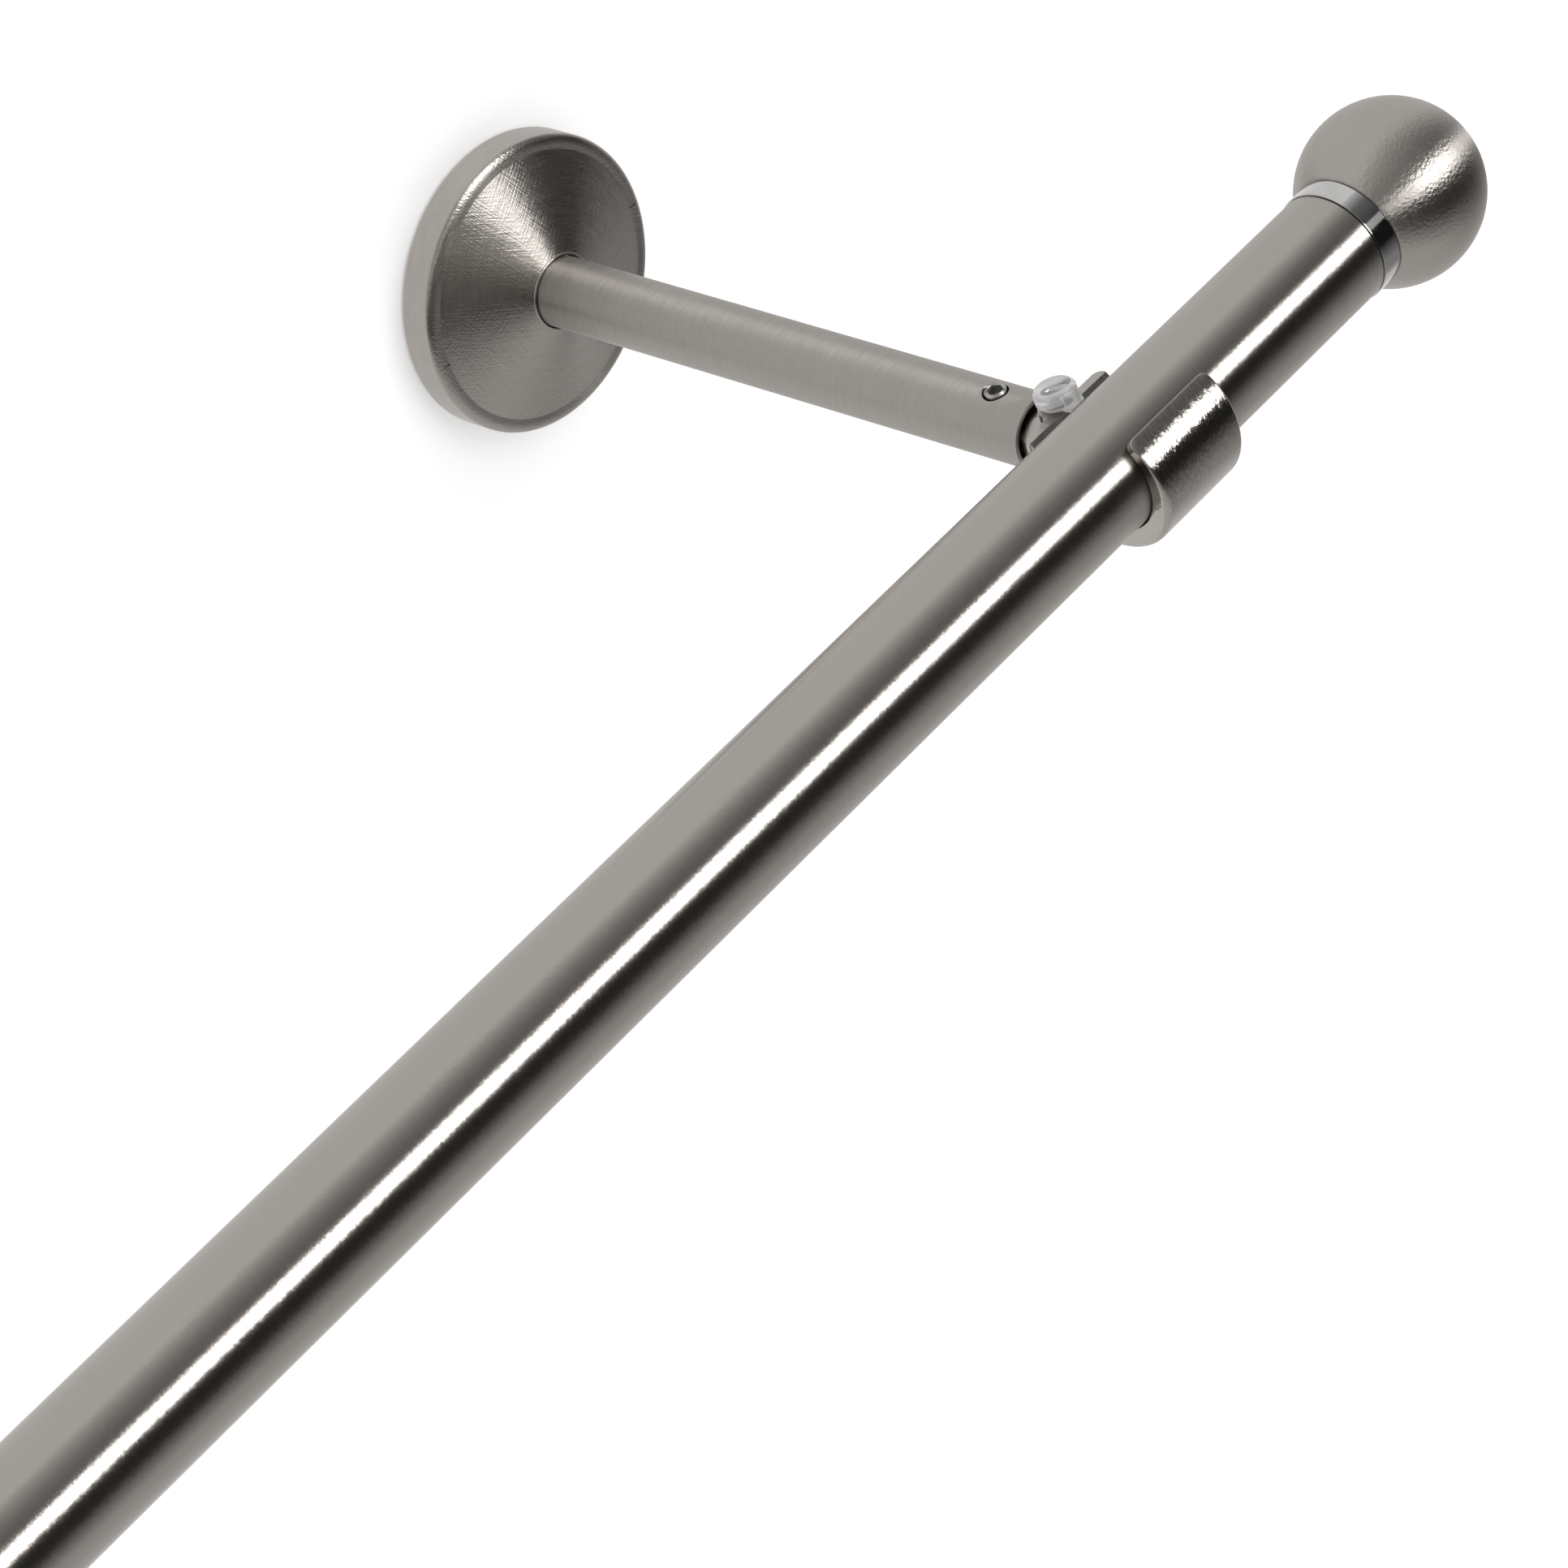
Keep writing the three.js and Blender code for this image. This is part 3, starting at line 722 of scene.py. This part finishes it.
# --- Screws ----------------------------------------------------------------------------------------


def clamp_screw():
    """The clear screw along Z: a shank, a head with a lens-shaped dish, and a lug to the rod."""
    r, low, high = CLAMP_HEAD_RADIUS, CLAMP_HEAD_LOW, CLAMP_HEAD_HIGH
    point = CLAMP_SHANK_RADIUS / 2
    outline = [(0, -CLAMP_SHANK_LENGTH), (CLAMP_SHANK_RADIUS - point, -CLAMP_SHANK_LENGTH)]
    outline += [(CLAMP_SHANK_RADIUS, -CLAMP_SHANK_LENGTH + point), (CLAMP_SHANK_RADIUS, low)]
    foot, widens = CLAMP_HEAD_FOOT
    cap, tapers = CLAMP_HEAD_TAPER
    outline += [(r * foot, low), (r, low + widens), (r, high - tapers), (r * cap, high), (0, high)]
    outline = rounded(outline, 0.25, 5, closed=False)
    screw = turned("screw", outline, MEDIUM, closed=False)
    width = CLAMP_LUG_WIDTH / 2
    top = high - 0.1
    root, tip = -CLAMP_LUG_ROOT, -CLAMP_LUG_REACH
    side = rounded([(tip, low), (root, low), (root, top), (tip + CLAMP_LUG_LEAN, top)], 0.25, 4)
    depths = [0, 0.05, 0.12, 0.22]
    edge = CLAMP_LUG_EDGE
    drawn = [edge - math.sqrt(max(0.0, edge**2 - max(0.0, edge - d) ** 2)) for d in depths]
    centre = Vector((-(CLAMP_LUG_REACH + CLAMP_LUG_ROOT) / 2, (low + high) / 2))

    def shrunk(by):
        return [tuple(Vector(p) + (centre - Vector(p)).normalized() * by) for p in side]

    near = [(shrunk(s), -width + d) for d, s in zip(depths, drawn)]
    far = [(shrunk(s), width - d) for d, s in reversed(list(zip(depths, drawn)))]
    lug = skinned("lug", near + far)
    # Drawn as (towards the wall, up) with Z across, and laid into the screw's frame.
    transform(lug, CYCLE)
    combine(screw, lug, "UNION")
    ball = [(math.cos(math.radians(t)), math.sin(math.radians(t))) for t in range(-90, 91, 6)]
    ball[0], ball[-1] = (0, -1), (0, 1)
    dish = turned("dish", ball, SMALL, closed=False)
    grow = Matrix.Diagonal((*CLAMP_DISH, 1))
    spin = Matrix.Rotation(math.radians(CLAMP_DISH_TURN), 4, "Z")
    transform(dish, spin @ grow)
    shift(dish, CLAMP_DISH_PLACE[0], CLAMP_DISH_PLACE[1], high + 0.05)
    combine(screw, dish, "DIFFERENCE")
    return shaded(screw, 40.0)


def socket_head(name, profile, key, key_low, key_high, sides):
    """A turned screw with a hexagon socket from key_low to key_high."""
    screw = turned(name, profile, sides, closed=False)
    key_hole = prism("key", polygon(key / math.sqrt(3), 6), key_low, key_high)
    return shaded(combine(screw, key_hole, "DIFFERENCE"), 28.0)


def set_screw(node):
    low, high = (v.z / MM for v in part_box(node))
    r, edge = SET_SCREW_RADIUS, SET_SCREW_CHAMFER
    key_radius = SET_SCREW_KEY / math.sqrt(3)
    profile = [(0, low), (r - edge, low), (r, low + edge), (r, high - edge), (r - edge, high)]
    profile += [(key_radius + 0.12, high), (key_radius - 0.05, high - 0.18), (0, high - 0.18)]
    profile = rounded(profile, 0.08, 4, closed=False)
    return socket_head(node, profile, SET_SCREW_KEY, high - SET_SCREW_KEY_DEPTH, high + OVERLAP, SMALL)


def plate_bolt(node):
    low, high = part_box(node)
    length = (high.y - low.y) / MM
    head = half_size(node).x
    neck = length - (head - BOLT_RADIUS)
    profile = [(0, 0), (BOLT_RADIUS - 0.5, 0), (BOLT_RADIUS, 0.5), (BOLT_RADIUS, neck)]
    profile += [(head, length - 0.15), (head, length), (0, length)]
    profile = rounded(profile, 0.12, 3, closed=False)
    return socket_head(node, profile, BOLT_KEY, length - BOLT_KEY_DEPTH, length + OVERLAP, MEDIUM)


def finial_screw(node):
    """The joining screw: its head inside the tube, its tip in the ball."""
    length = 2 * half_size(node).x
    head = half_size(node).z
    r = JOIN_SCREW_RADIUS
    profile = [(0, 0), (head - 0.9, 0), (head, 0.8), (head, JOIN_SCREW_HEAD), (r, JOIN_SCREW_HEAD)]
    profile += [(r, length - 0.6), (r - 0.6, length), (0, length)]
    screw = turned(node, rounded(profile, 0.15, 3, closed=False), MEDIUM, closed=False)
    wide, narrow = head / 2, JOIN_SCREW_SLOT / 2
    for x, y in ((wide, narrow), (narrow, wide)):
        bar = [(-x, -y), (x, -y), (x, y), (-x, y)]
        combine(screw, prism("slot", bar, -OVERLAP, JOIN_SCREW_HEAD / 2), "DIFFERENCE")
    return shaded(screw)


# --- Tubes, plates and turned pieces ---------------------------------------------------------------


def tube(name, outer, bore, low, high, sides=FINE, rings=1):
    """A cut tube with its edges just broken. Extra rings keep the long side's quads short."""
    steps = [low + (high - low) * i / rings for i in range(1, rings)]
    edge = TUBE_BREAK
    outside = [(outer - edge, low), (outer, low + edge), *[(outer, s) for s in steps]]
    outside += [(outer, high - edge), (outer - edge, high)]
    inside = [(bore + edge, high), (bore, high - edge), (bore, low + edge), (bore + edge, low)]
    return shaded(turned(name, outside + inside, sides), 50.0)


def arm_tube(node, screw_y):
    low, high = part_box(node)
    radius = half_size(node).z
    length = (high.y - low.y) / MM
    arm = tube(node, radius, radius - ARM_WALL, 0, length, FAIR)
    hole_radius = SET_SCREW_RADIUS + 0.3
    mouth = hole_radius + 0.25
    beyond = radius + 2 * OVERLAP
    bore = [(0, 0), (hole_radius, 0), (hole_radius, radius - 0.12), (mouth, radius + 0.15)]
    bore += [(mouth, beyond), (0, beyond)]
    drill = turned("drill", bore, SMALL, closed=False)
    # The arm's own X points up and its Z to the wall.
    transform(drill, CYCLE)
    shift(drill, z=screw_y)
    combine(arm, drill, "DIFFERENCE")
    return shaded(arm, 32.0)


def rosette(node):
    """The pressed cover: rim, rounded edge, flat band, cone, and a small rolled edge round the arm."""
    low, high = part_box(node)
    radius = half_size(node).x
    depth = (high.y - low.y) / MM
    face = COVER_RISE
    bore = half_size("arm_tube_right").x + 0.15
    band = radius - COVER_BAND
    lip = bore + COVER_BEAD
    bead = arc(lip - COVER_BEAD / 2, COVER_BEAD / 2, COVER_BEAD / 2, -180, 0, 8)
    foot = COVER_BEAD / 2
    cone = [(lip + (band - lip) * t, foot + (face - foot) * t) for t in (0.0, 0.35, 0.7, 0.95, 1.0)]
    crease = rounded([*cone, (band + 0.5, face)], 0.4, 6, False)
    edge = [
        (radius + COVER_EDGE_REACH * (x - 1), face + COVER_RIM_EDGE * (1 + y))
        for x, y in arc(0, 0, 1, -90, 0, 12)
    ]
    outside = [*bead, *crease, *edge, (radius, depth - 0.15), (radius - 0.15, depth)]
    sheet = COVER_SHEET
    inside = [(radius - sheet, depth), (radius - sheet, face + sheet + 0.3)]
    inside += [(band, face + sheet), (bore, sheet)]
    cover = turned(node, outside + inside, VERY_FINE)
    length, width, cut = COVER_NOTCH
    notch_start = band - 0.15
    for side in (1, -1):
        start = side * notch_start
        end = side * (notch_start + length)
        across = [(-width / 2, start), (width / 2, start), (width / 2, end), (-width / 2, end)]
        if side < 0:
            across.reverse()
        combine(cover, prism("notch", across, face - OVERLAP, face + cut), "DIFFERENCE")
    return shaded(cover, 26.0)


def wall_plate(node):
    thickness = 2 * half_size(node).y
    radius = half_size(node).x
    ease = PLATE_SINK_RADIUS - PLATE_BOLT_HOLE
    profile = [(PLATE_BOLT_HOLE, 0), (radius, 0), (radius, thickness), (PLATE_SINK_RADIUS, thickness)]
    profile += [(PLATE_BOLT_HOLE, thickness - ease)]
    plate = turned(node, rounded(profile, 0.2, 3), FAIR)
    r = PLATE_HOLE_RADIUS
    mouth = 2 * r + PLATE_SINK_GROWTH
    beyond = thickness + OVERLAP
    hole = [(0, -OVERLAP), (mouth + OVERLAP, -OVERLAP), (mouth, 0), (r, r), (r, beyond), (0, beyond)]
    for side in (1, -1):
        drill = shift(turned("drill", hole, MEDIUM, closed=False), y=side * PLATE_HOLE_SPREAD)
        combine(plate, drill, "DIFFERENCE")
    return shaded(plate)


def arm_insert(node):
    length = 2 * half_size(node).y
    radius = half_size(node).x
    profile = [(INSERT_BORE, 0), (radius, 0), (radius, length), (INSERT_BORE, length)]
    return shaded(turned(node, rounded(profile, 0.3, 3), MEDIUM))


def finial_ball(node):
    """A sphere cut flat where it meets the ring, with the blind hole for the joining screw."""
    radius = half_size(node).z
    length = 2 * half_size(node).x
    centre = length - radius
    start = math.degrees(math.asin(-centre / radius))
    sphere = arc(0, centre, radius, start, 90, 72)
    sphere[-1] = (0, length)
    profile = [(JOIN_HOLE_RADIUS, 0), (sphere[0][0] - 0.1, 0), *sphere[1:]]
    profile += [(0, JOIN_HOLE_DEPTH), (JOIN_HOLE_RADIUS, JOIN_HOLE_DEPTH)]
    return shaded(turned(node, profile, VERY_FINE), 40.0)


def finial_ring(node, before, after):
    """The polished ring, lengthened into the gaps so that only a dark line shows at its ends."""
    low = -(before - RING_GROOVE)
    high = 2 * half_size(node).x + after - RING_GROOVE
    radius = half_size(node).z
    profile = [(JOIN_HOLE_RADIUS, low), (radius, low), (radius, high), (JOIN_HOLE_RADIUS, high)]
    return shaded(turned(node, rounded(profile, RING_BREAK, 3), VERY_FINE))


def finial_plug(node):
    length = 2 * half_size(node).x
    tip = half_size(node).z
    core = tip - PLUG_RIB
    pitch = length / (PLUG_RIBS + 1)
    profile = [(JOIN_HOLE_RADIUS, 0), (core, 0)]
    for i in range(PLUG_RIBS):
        start = (i + 0.5) * pitch
        profile += [(core, start), (tip, start + pitch / 4)]
        profile += [(tip, start + pitch / 2), (core, start + 3 * pitch / 4)]
    profile += [(core, length), (JOIN_HOLE_RADIUS, length)]
    return shaded(turned(node, rounded(profile, 0.12, 3), MEDIUM))


# --- The object ------------------------------------------------------------------------------------


def front_of(node):
    """The front of a piece, on its own axis."""
    spot = middle(node)
    spot.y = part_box(node)[0].y
    return spot


BRACKET_KINDS = (
    "arm_tube",
    "rosette_cover",
    "wall_plate",
    "plate_bolt",
    "arm_insert",
    "set_screw",
    "rod_holder",
    "clamp_screw",
)


def build_bracket(side, masters):
    """The pieces of one bracket. The first bracket's meshes serve the second one too."""
    node = {kind: kind + "_" + side for kind in BRACKET_KINDS}
    if not masters:
        arm_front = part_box(node["arm_tube"])[0].y
        screw_y = (middle(node["set_screw"]).y - arm_front) / MM
        arm_axis = middle(node["arm_tube"])
        drop = (ROD_AXIS.z - arm_axis.z) / MM + 0.2
        spigot_end = (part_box(node["rod_holder"])[1].y - ROD_AXIS.y) / MM
        masters["arm_tube"] = arm_tube(node["arm_tube"], screw_y)
        masters["rosette_cover"] = rosette(node["rosette_cover"])
        masters["wall_plate"] = wall_plate(node["wall_plate"])
        masters["plate_bolt"] = plate_bolt(node["plate_bolt"])
        masters["arm_insert"] = arm_insert(node["arm_insert"])
        masters["set_screw"] = set_screw(node["set_screw"])
        masters["rod_holder"] = holder(node["rod_holder"], drop, spigot_end)
        masters["clamp_screw"] = clamp_screw()
        made = dict(masters)
    else:
        made = {kind: copy_of(masters[kind], kind) for kind in BRACKET_KINDS}
    seat = ROD_AXIS.copy()
    seat.x = middle(node["rod_holder"]).x
    screw_foot = middle(node["set_screw"])
    screw_foot.z = 0.0
    clamp = Matrix.Translation(seat) @ ALONG_ROD.to_4x4() @ tilt_frame()
    wall = "wall_brackets"
    front = {kind: front_of(node[kind]) for kind in BRACKET_KINDS}
    rows = [
        ("arm_tube", wall, "satin_nickel", ARM, front["arm_tube"], TO_WALL),
        ("rosette_cover", "cover_" + side, "satin_nickel", ROSETTE, front["rosette_cover"], TO_WALL),
        ("wall_plate", wall, "zinc_steel", ZINC, front["wall_plate"], TO_WALL),
        ("plate_bolt", wall, "zinc_steel", ZINC, front["plate_bolt"], TO_WALL),
        ("arm_insert", wall, "zinc_steel", ZINC, front["arm_insert"], TO_WALL),
        ("set_screw", "set_screw_" + side, "zinc_steel", ZINC, screw_foot, UPRIGHT),
        ("rod_holder", "holder_" + side, "cast_nickel", CAST, seat, ALONG_ROD),
        ("clamp_screw", "clamp_screw_" + side, "clear_plastic", CLEAR, clamp.translation, clamp.to_3x3()),
    ]
    for kind, body, slot, material, origin, turn in rows:
        settle(made[kind], node[kind], body, material, origin, turn)


def build_finial(side, direction, masters):
    """The pieces of one finial, drawn with Z pointing away from the rod."""
    turn = ALONG_ROD if direction > 0 else AGAINST_ROD
    kinds = ("finial_ball", "finial_ring", "finial_plug", "finial_screw")
    node = {kind: kind + "_" + side for kind in kinds}

    def inner_end(kind):
        spot = middle(node[kind])
        spot.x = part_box(node[kind])[0 if direction > 0 else 1].x
        return spot

    def outer_end(kind):
        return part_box(node[kind])[1 if direction > 0 else 0].x

    if not masters:
        before = abs(inner_end("finial_ring").x) / MM - ROD_HALF_LENGTH
        after = abs(inner_end("finial_ball").x - outer_end("finial_ring")) / MM
        masters["finial_ball"] = finial_ball(node["finial_ball"])
        masters["finial_ring"] = finial_ring(node["finial_ring"], before, after)
        masters["finial_plug"] = finial_plug(node["finial_plug"])
        masters["finial_screw"] = finial_screw(node["finial_screw"])
        made = dict(masters)
    else:
        made = {kind: copy_of(masters[kind], kind) for kind in kinds}
    looks = {
        "finial_ball": ("satin_nickel", BALL),
        "finial_ring": ("polished_chrome", CHROME),
        "finial_plug": ("grey_nylon", NYLON),
        "finial_screw": ("zinc_steel", ZINC),
    }
    for kind in kinds:
        slot, material = looks[kind]
        settle(made[kind], node[kind], "finial_" + side, material, inner_end(kind), turn)


rod = tube("rod_tube", ROD_RADIUS, ROD_RADIUS - ROD_WALL, -ROD_HALF_LENGTH, ROD_HALF_LENGTH, FINE, 24)
settle(rod, "rod_tube", "rod", TUBE, ROD_AXIS, ALONG_ROD)

bracket_masters = {}
finial_masters = {}
for side_name, side_sign in (("right", 1), ("left", -1)):
    build_bracket(side_name, bracket_masters)
    build_finial(side_name, side_sign, finial_masters)

# --- Stage -----------------------------------------------------------------------------------------

WALL_FACE = CAD_BOX[1][1] + 0.0002
FLOOR_HEIGHT = -0.40
STAGE_REACH = 3.0
STAGE_GLOW = 0.25


def stage_plane(name, corners, material):
    bm = bmesh.new()
    bm.faces.new([bm.verts.new(c) for c in corners])
    mesh = bpy.data.meshes.new(name)
    bm.to_mesh(mesh)
    bm.free()
    mesh.materials.append(material)
    obj = bpy.data.objects.new(name, mesh)
    bpy.context.scene.collection.objects.link(obj)
    obj.visible_glossy = False  # the metal reflects the studio, not the stage


def stage_paint(name):
    """White paint, lit a little from within so that it stays white, and clear from behind."""
    material, n = new_material(name)
    place = n.add("ShaderNodeTexCoord").outputs["Object"]
    speck = n.noise(place, 900.0, 2.0)
    paint = {
        "Base Color": n.tint(speck, (0.85, 0.85, 0.85), (0.87, 0.87, 0.87)),
        "Roughness": 0.9,
        "Specular IOR Level": 0.0,
        "Emission Color": (1, 1, 1, 1),
        "Emission Strength": STAGE_GLOW,
    }
    shader = n.add("ShaderNodeBsdfPrincipled", paint)
    behind = n.add("ShaderNodeNewGeometry").outputs["Backfacing"]
    clear = n.add("ShaderNodeBsdfTransparent")
    inputs = {0: behind, 1: shader.outputs[0], 2: clear.outputs[0]}
    output(n, n.add("ShaderNodeMixShader", inputs))
    return material


floor_corners = [
    (-STAGE_REACH, -STAGE_REACH, FLOOR_HEIGHT),
    (STAGE_REACH, -STAGE_REACH, FLOOR_HEIGHT),
    (STAGE_REACH, STAGE_REACH, FLOOR_HEIGHT),
    (-STAGE_REACH, STAGE_REACH, FLOOR_HEIGHT),
]
wall_corners = [
    (-STAGE_REACH, WALL_FACE, FLOOR_HEIGHT),
    (STAGE_REACH, WALL_FACE, FLOOR_HEIGHT),
    (STAGE_REACH, WALL_FACE, STAGE_REACH),
    (-STAGE_REACH, WALL_FACE, STAGE_REACH),
]
stage_plane("stage_floor", floor_corners, stage_paint("stage_floor"))
stage_plane("stage_wall", wall_corners, stage_paint("stage_wall"))

# --- Studio light ----------------------------------------------------------------------------------

# Directions round the rod are counted from the wall, by way of overhead at 90, to the room at 180.
KEY_TURN = math.radians(153.5)
KEY_SIDE = 0.36  # how far to the right the key light stands, as a share of its distance
KEY_SIZE = (1.1, 1.02)
KEY_POWER = 47.0
FILL_DIRECTION = (0.35, -0.75, 0.56)
FILL_SIZE = (3.0, 3.0)
FILL_POWER = 50.0
LIGHT_DISTANCE = 3.0

# How bright the metal sees each side of the studio, 1 being white.
WALL_LEVEL = 0.9  # the pale wall, and the ceiling on its side
CEILING_LEVEL = 0.6  # the ceiling on the room's side, which falls off into the room
FLOOR_LEVEL = 0.7
ROOM_LEVEL = 0.03
STUDIO_LEVELS = (
    (-180, ROOM_LEVEL),
    (-165, ROOM_LEVEL),
    (-130, FLOOR_LEVEL),
    (-85, FLOOR_LEVEL),
    (-65, WALL_LEVEL),
    (88, WALL_LEVEL),
    (92, CEILING_LEVEL),
    (165, ROOM_LEVEL),
    (180, ROOM_LEVEL),
)
# The room in front darkens to the right. Spans are of a direction's y and x.
FRONT_SPAN = (-0.05, -0.30)
SIDE_SPAN = (0.15, 0.80)
SIDE_SHARE = 0.15  # what is left of the light at the right
# A long strip light runs along the room.
STRIP_LEVEL = 1.1
STRIP_CORE = math.radians(5.5)  # half its width at full brightness
STRIP_EDGE = math.radians(9.0)  # and half its width where it has faded out
STRIP_END_SPAN = (0.50, 0.58)  # of a direction's x, over which it weakens
STRIP_END_SHARE = 0.45
DOME_LEVEL = 0.42  # what matt surfaces see
BACKDROP_LEVEL = 0.95  # what the camera sees


def studio_world():
    """The studio as the metal sees it, by direction round the rod: 0 is the wall, 90 overhead.

    Matt surfaces get an even dome of light instead, and the camera sees a plain pale background.
    """
    world = bpy.data.worlds.new("studio")
    bpy.context.scene.world = world
    world.use_nodes = True
    n = Nodes(world.node_tree)
    direction = n.add("ShaderNodeTexCoord").outputs["Generated"]
    x, y, z = n.add("ShaderNodeSeparateXYZ", {0: direction}).outputs
    turn = n.math("ARCTAN2", z, y)
    share = n.span(turn, -math.pi, math.pi)
    glow = n.ramp(share, [((angle + 180) / 360, level) for angle, level in STUDIO_LEVELS])
    in_front = n.span(y, *FRONT_SPAN)
    shade = n.span(x, *SIDE_SPAN, 1.0, SIDE_SHARE)
    front = n.math("ADD", n.math("MULTIPLY", in_front, n.math("SUBTRACT", shade, 1.0)), 1.0)
    glow = n.add("ShaderNodeVectorMath", {0: glow, 1: front}, operation="MULTIPLY").outputs[0]
    from_middle = n.math("ABSOLUTE", n.math("SUBTRACT", turn, KEY_TURN))
    strip = n.span(from_middle, STRIP_CORE, STRIP_EDGE, 1.0, 0.0)
    strength = n.span(x, *STRIP_END_SPAN, STRIP_LEVEL, STRIP_LEVEL * STRIP_END_SHARE)
    strip = n.math("MULTIPLY", strip, strength)
    glow = n.add("ShaderNodeVectorMath", {0: glow, 1: strip}, operation="ADD").outputs[0]
    room = n.add("ShaderNodeBackground", {"Color": glow, "Strength": 1.0})
    pale = n.add("ShaderNodeBackground", {"Color": (*[BACKDROP_LEVEL] * 3, 1), "Strength": 1.0})
    even = n.add("ShaderNodeBackground", {"Color": (1, 1, 1, 1), "Strength": DOME_LEVEL})
    mix = room
    for ray, seen in (("Is Diffuse Ray", even), ("Is Camera Ray", pale)):
        is_ray = n.add("ShaderNodeLightPath").outputs[ray]
        mix = n.add("ShaderNodeMixShader", {0: is_ray, 1: mix.outputs[0], 2: seen.outputs[0]})
    n.add("ShaderNodeOutputWorld", {"Surface": mix.outputs[0]})


def soft_box(name, direction, size, power, aim, in_metal):
    """A rectangular light that either the metal or the matt surfaces see."""
    light = bpy.data.lights.new(name, "AREA")
    light.shape = "RECTANGLE"
    light.size, light.size_y = size
    light.energy = power
    obj = bpy.data.objects.new(name, light)
    bpy.context.scene.collection.objects.link(obj)
    toward = Vector(direction).normalized()
    obj.location = aim + toward * LIGHT_DISTANCE
    # The box's width lies along the rod as nearly as it can.
    rod_way = Vector((1, 0, 0))
    level = (rod_way - toward * rod_way.dot(toward)).normalized()
    up = toward.cross(level)
    obj.rotation_euler = Matrix((level, up, toward)).transposed().to_euler()
    obj.visible_camera = False
    obj.visible_glossy = in_metal
    obj.visible_transmission = in_metal
    obj.visible_diffuse = not in_metal


studio_world()
bracket_spot = Vector((middle("rod_holder_right").x, ROD_AXIS.y, ROD_AXIS.z))
key_rest = math.sqrt(1 - KEY_SIDE**2)
key_direction = (KEY_SIDE, key_rest * math.cos(KEY_TURN), key_rest * math.sin(KEY_TURN))
soft_box("key", key_direction, KEY_SIZE, KEY_POWER, bracket_spot, True)
soft_box("fill", FILL_DIRECTION, FILL_SIZE, FILL_POWER, bracket_spot, False)

# --- Camera ----------------------------------------------------------------------------------------

# The camera's place from the point where the right-hand bracket carries the rod, and its turn.
CAMERA_OFFSET = Vector((-0.33513, -0.35838, 0.35399))
AZIMUTH = math.radians(-36.36)
ELEVATION = math.radians(37.68)
ROLL = math.radians(-19.66)
FIELD_OF_VIEW = math.radians(18.36)
CAMERA_SHIFT = (0.0227, -0.0346)
NEAREST_SEEN = 0.01


def add_camera():
    ahead = Vector((-math.sin(AZIMUTH), math.cos(AZIMUTH), 0)) * math.cos(ELEVATION)
    ahead.z = -math.sin(ELEVATION)
    level = ahead.cross(Vector((0, 0, 1))).normalized()
    upright = level.cross(ahead)
    right = level * math.cos(ROLL) + upright * math.sin(ROLL)
    up = upright * math.cos(ROLL) - level * math.sin(ROLL)
    camera = bpy.data.cameras.new("camera")
    camera.angle = FIELD_OF_VIEW
    camera.shift_x, camera.shift_y = CAMERA_SHIFT
    camera.clip_start = NEAREST_SEEN
    obj = bpy.data.objects.new("camera", camera)
    bpy.context.scene.collection.objects.link(obj)
    turn = Matrix((right, up, -ahead)).transposed().to_4x4()
    obj.matrix_world = Matrix.Translation(bracket_spot + CAMERA_OFFSET) @ turn
    bpy.context.scene.camera = obj


add_camera()
bpy.context.scene.view_settings.view_transform = "Standard"
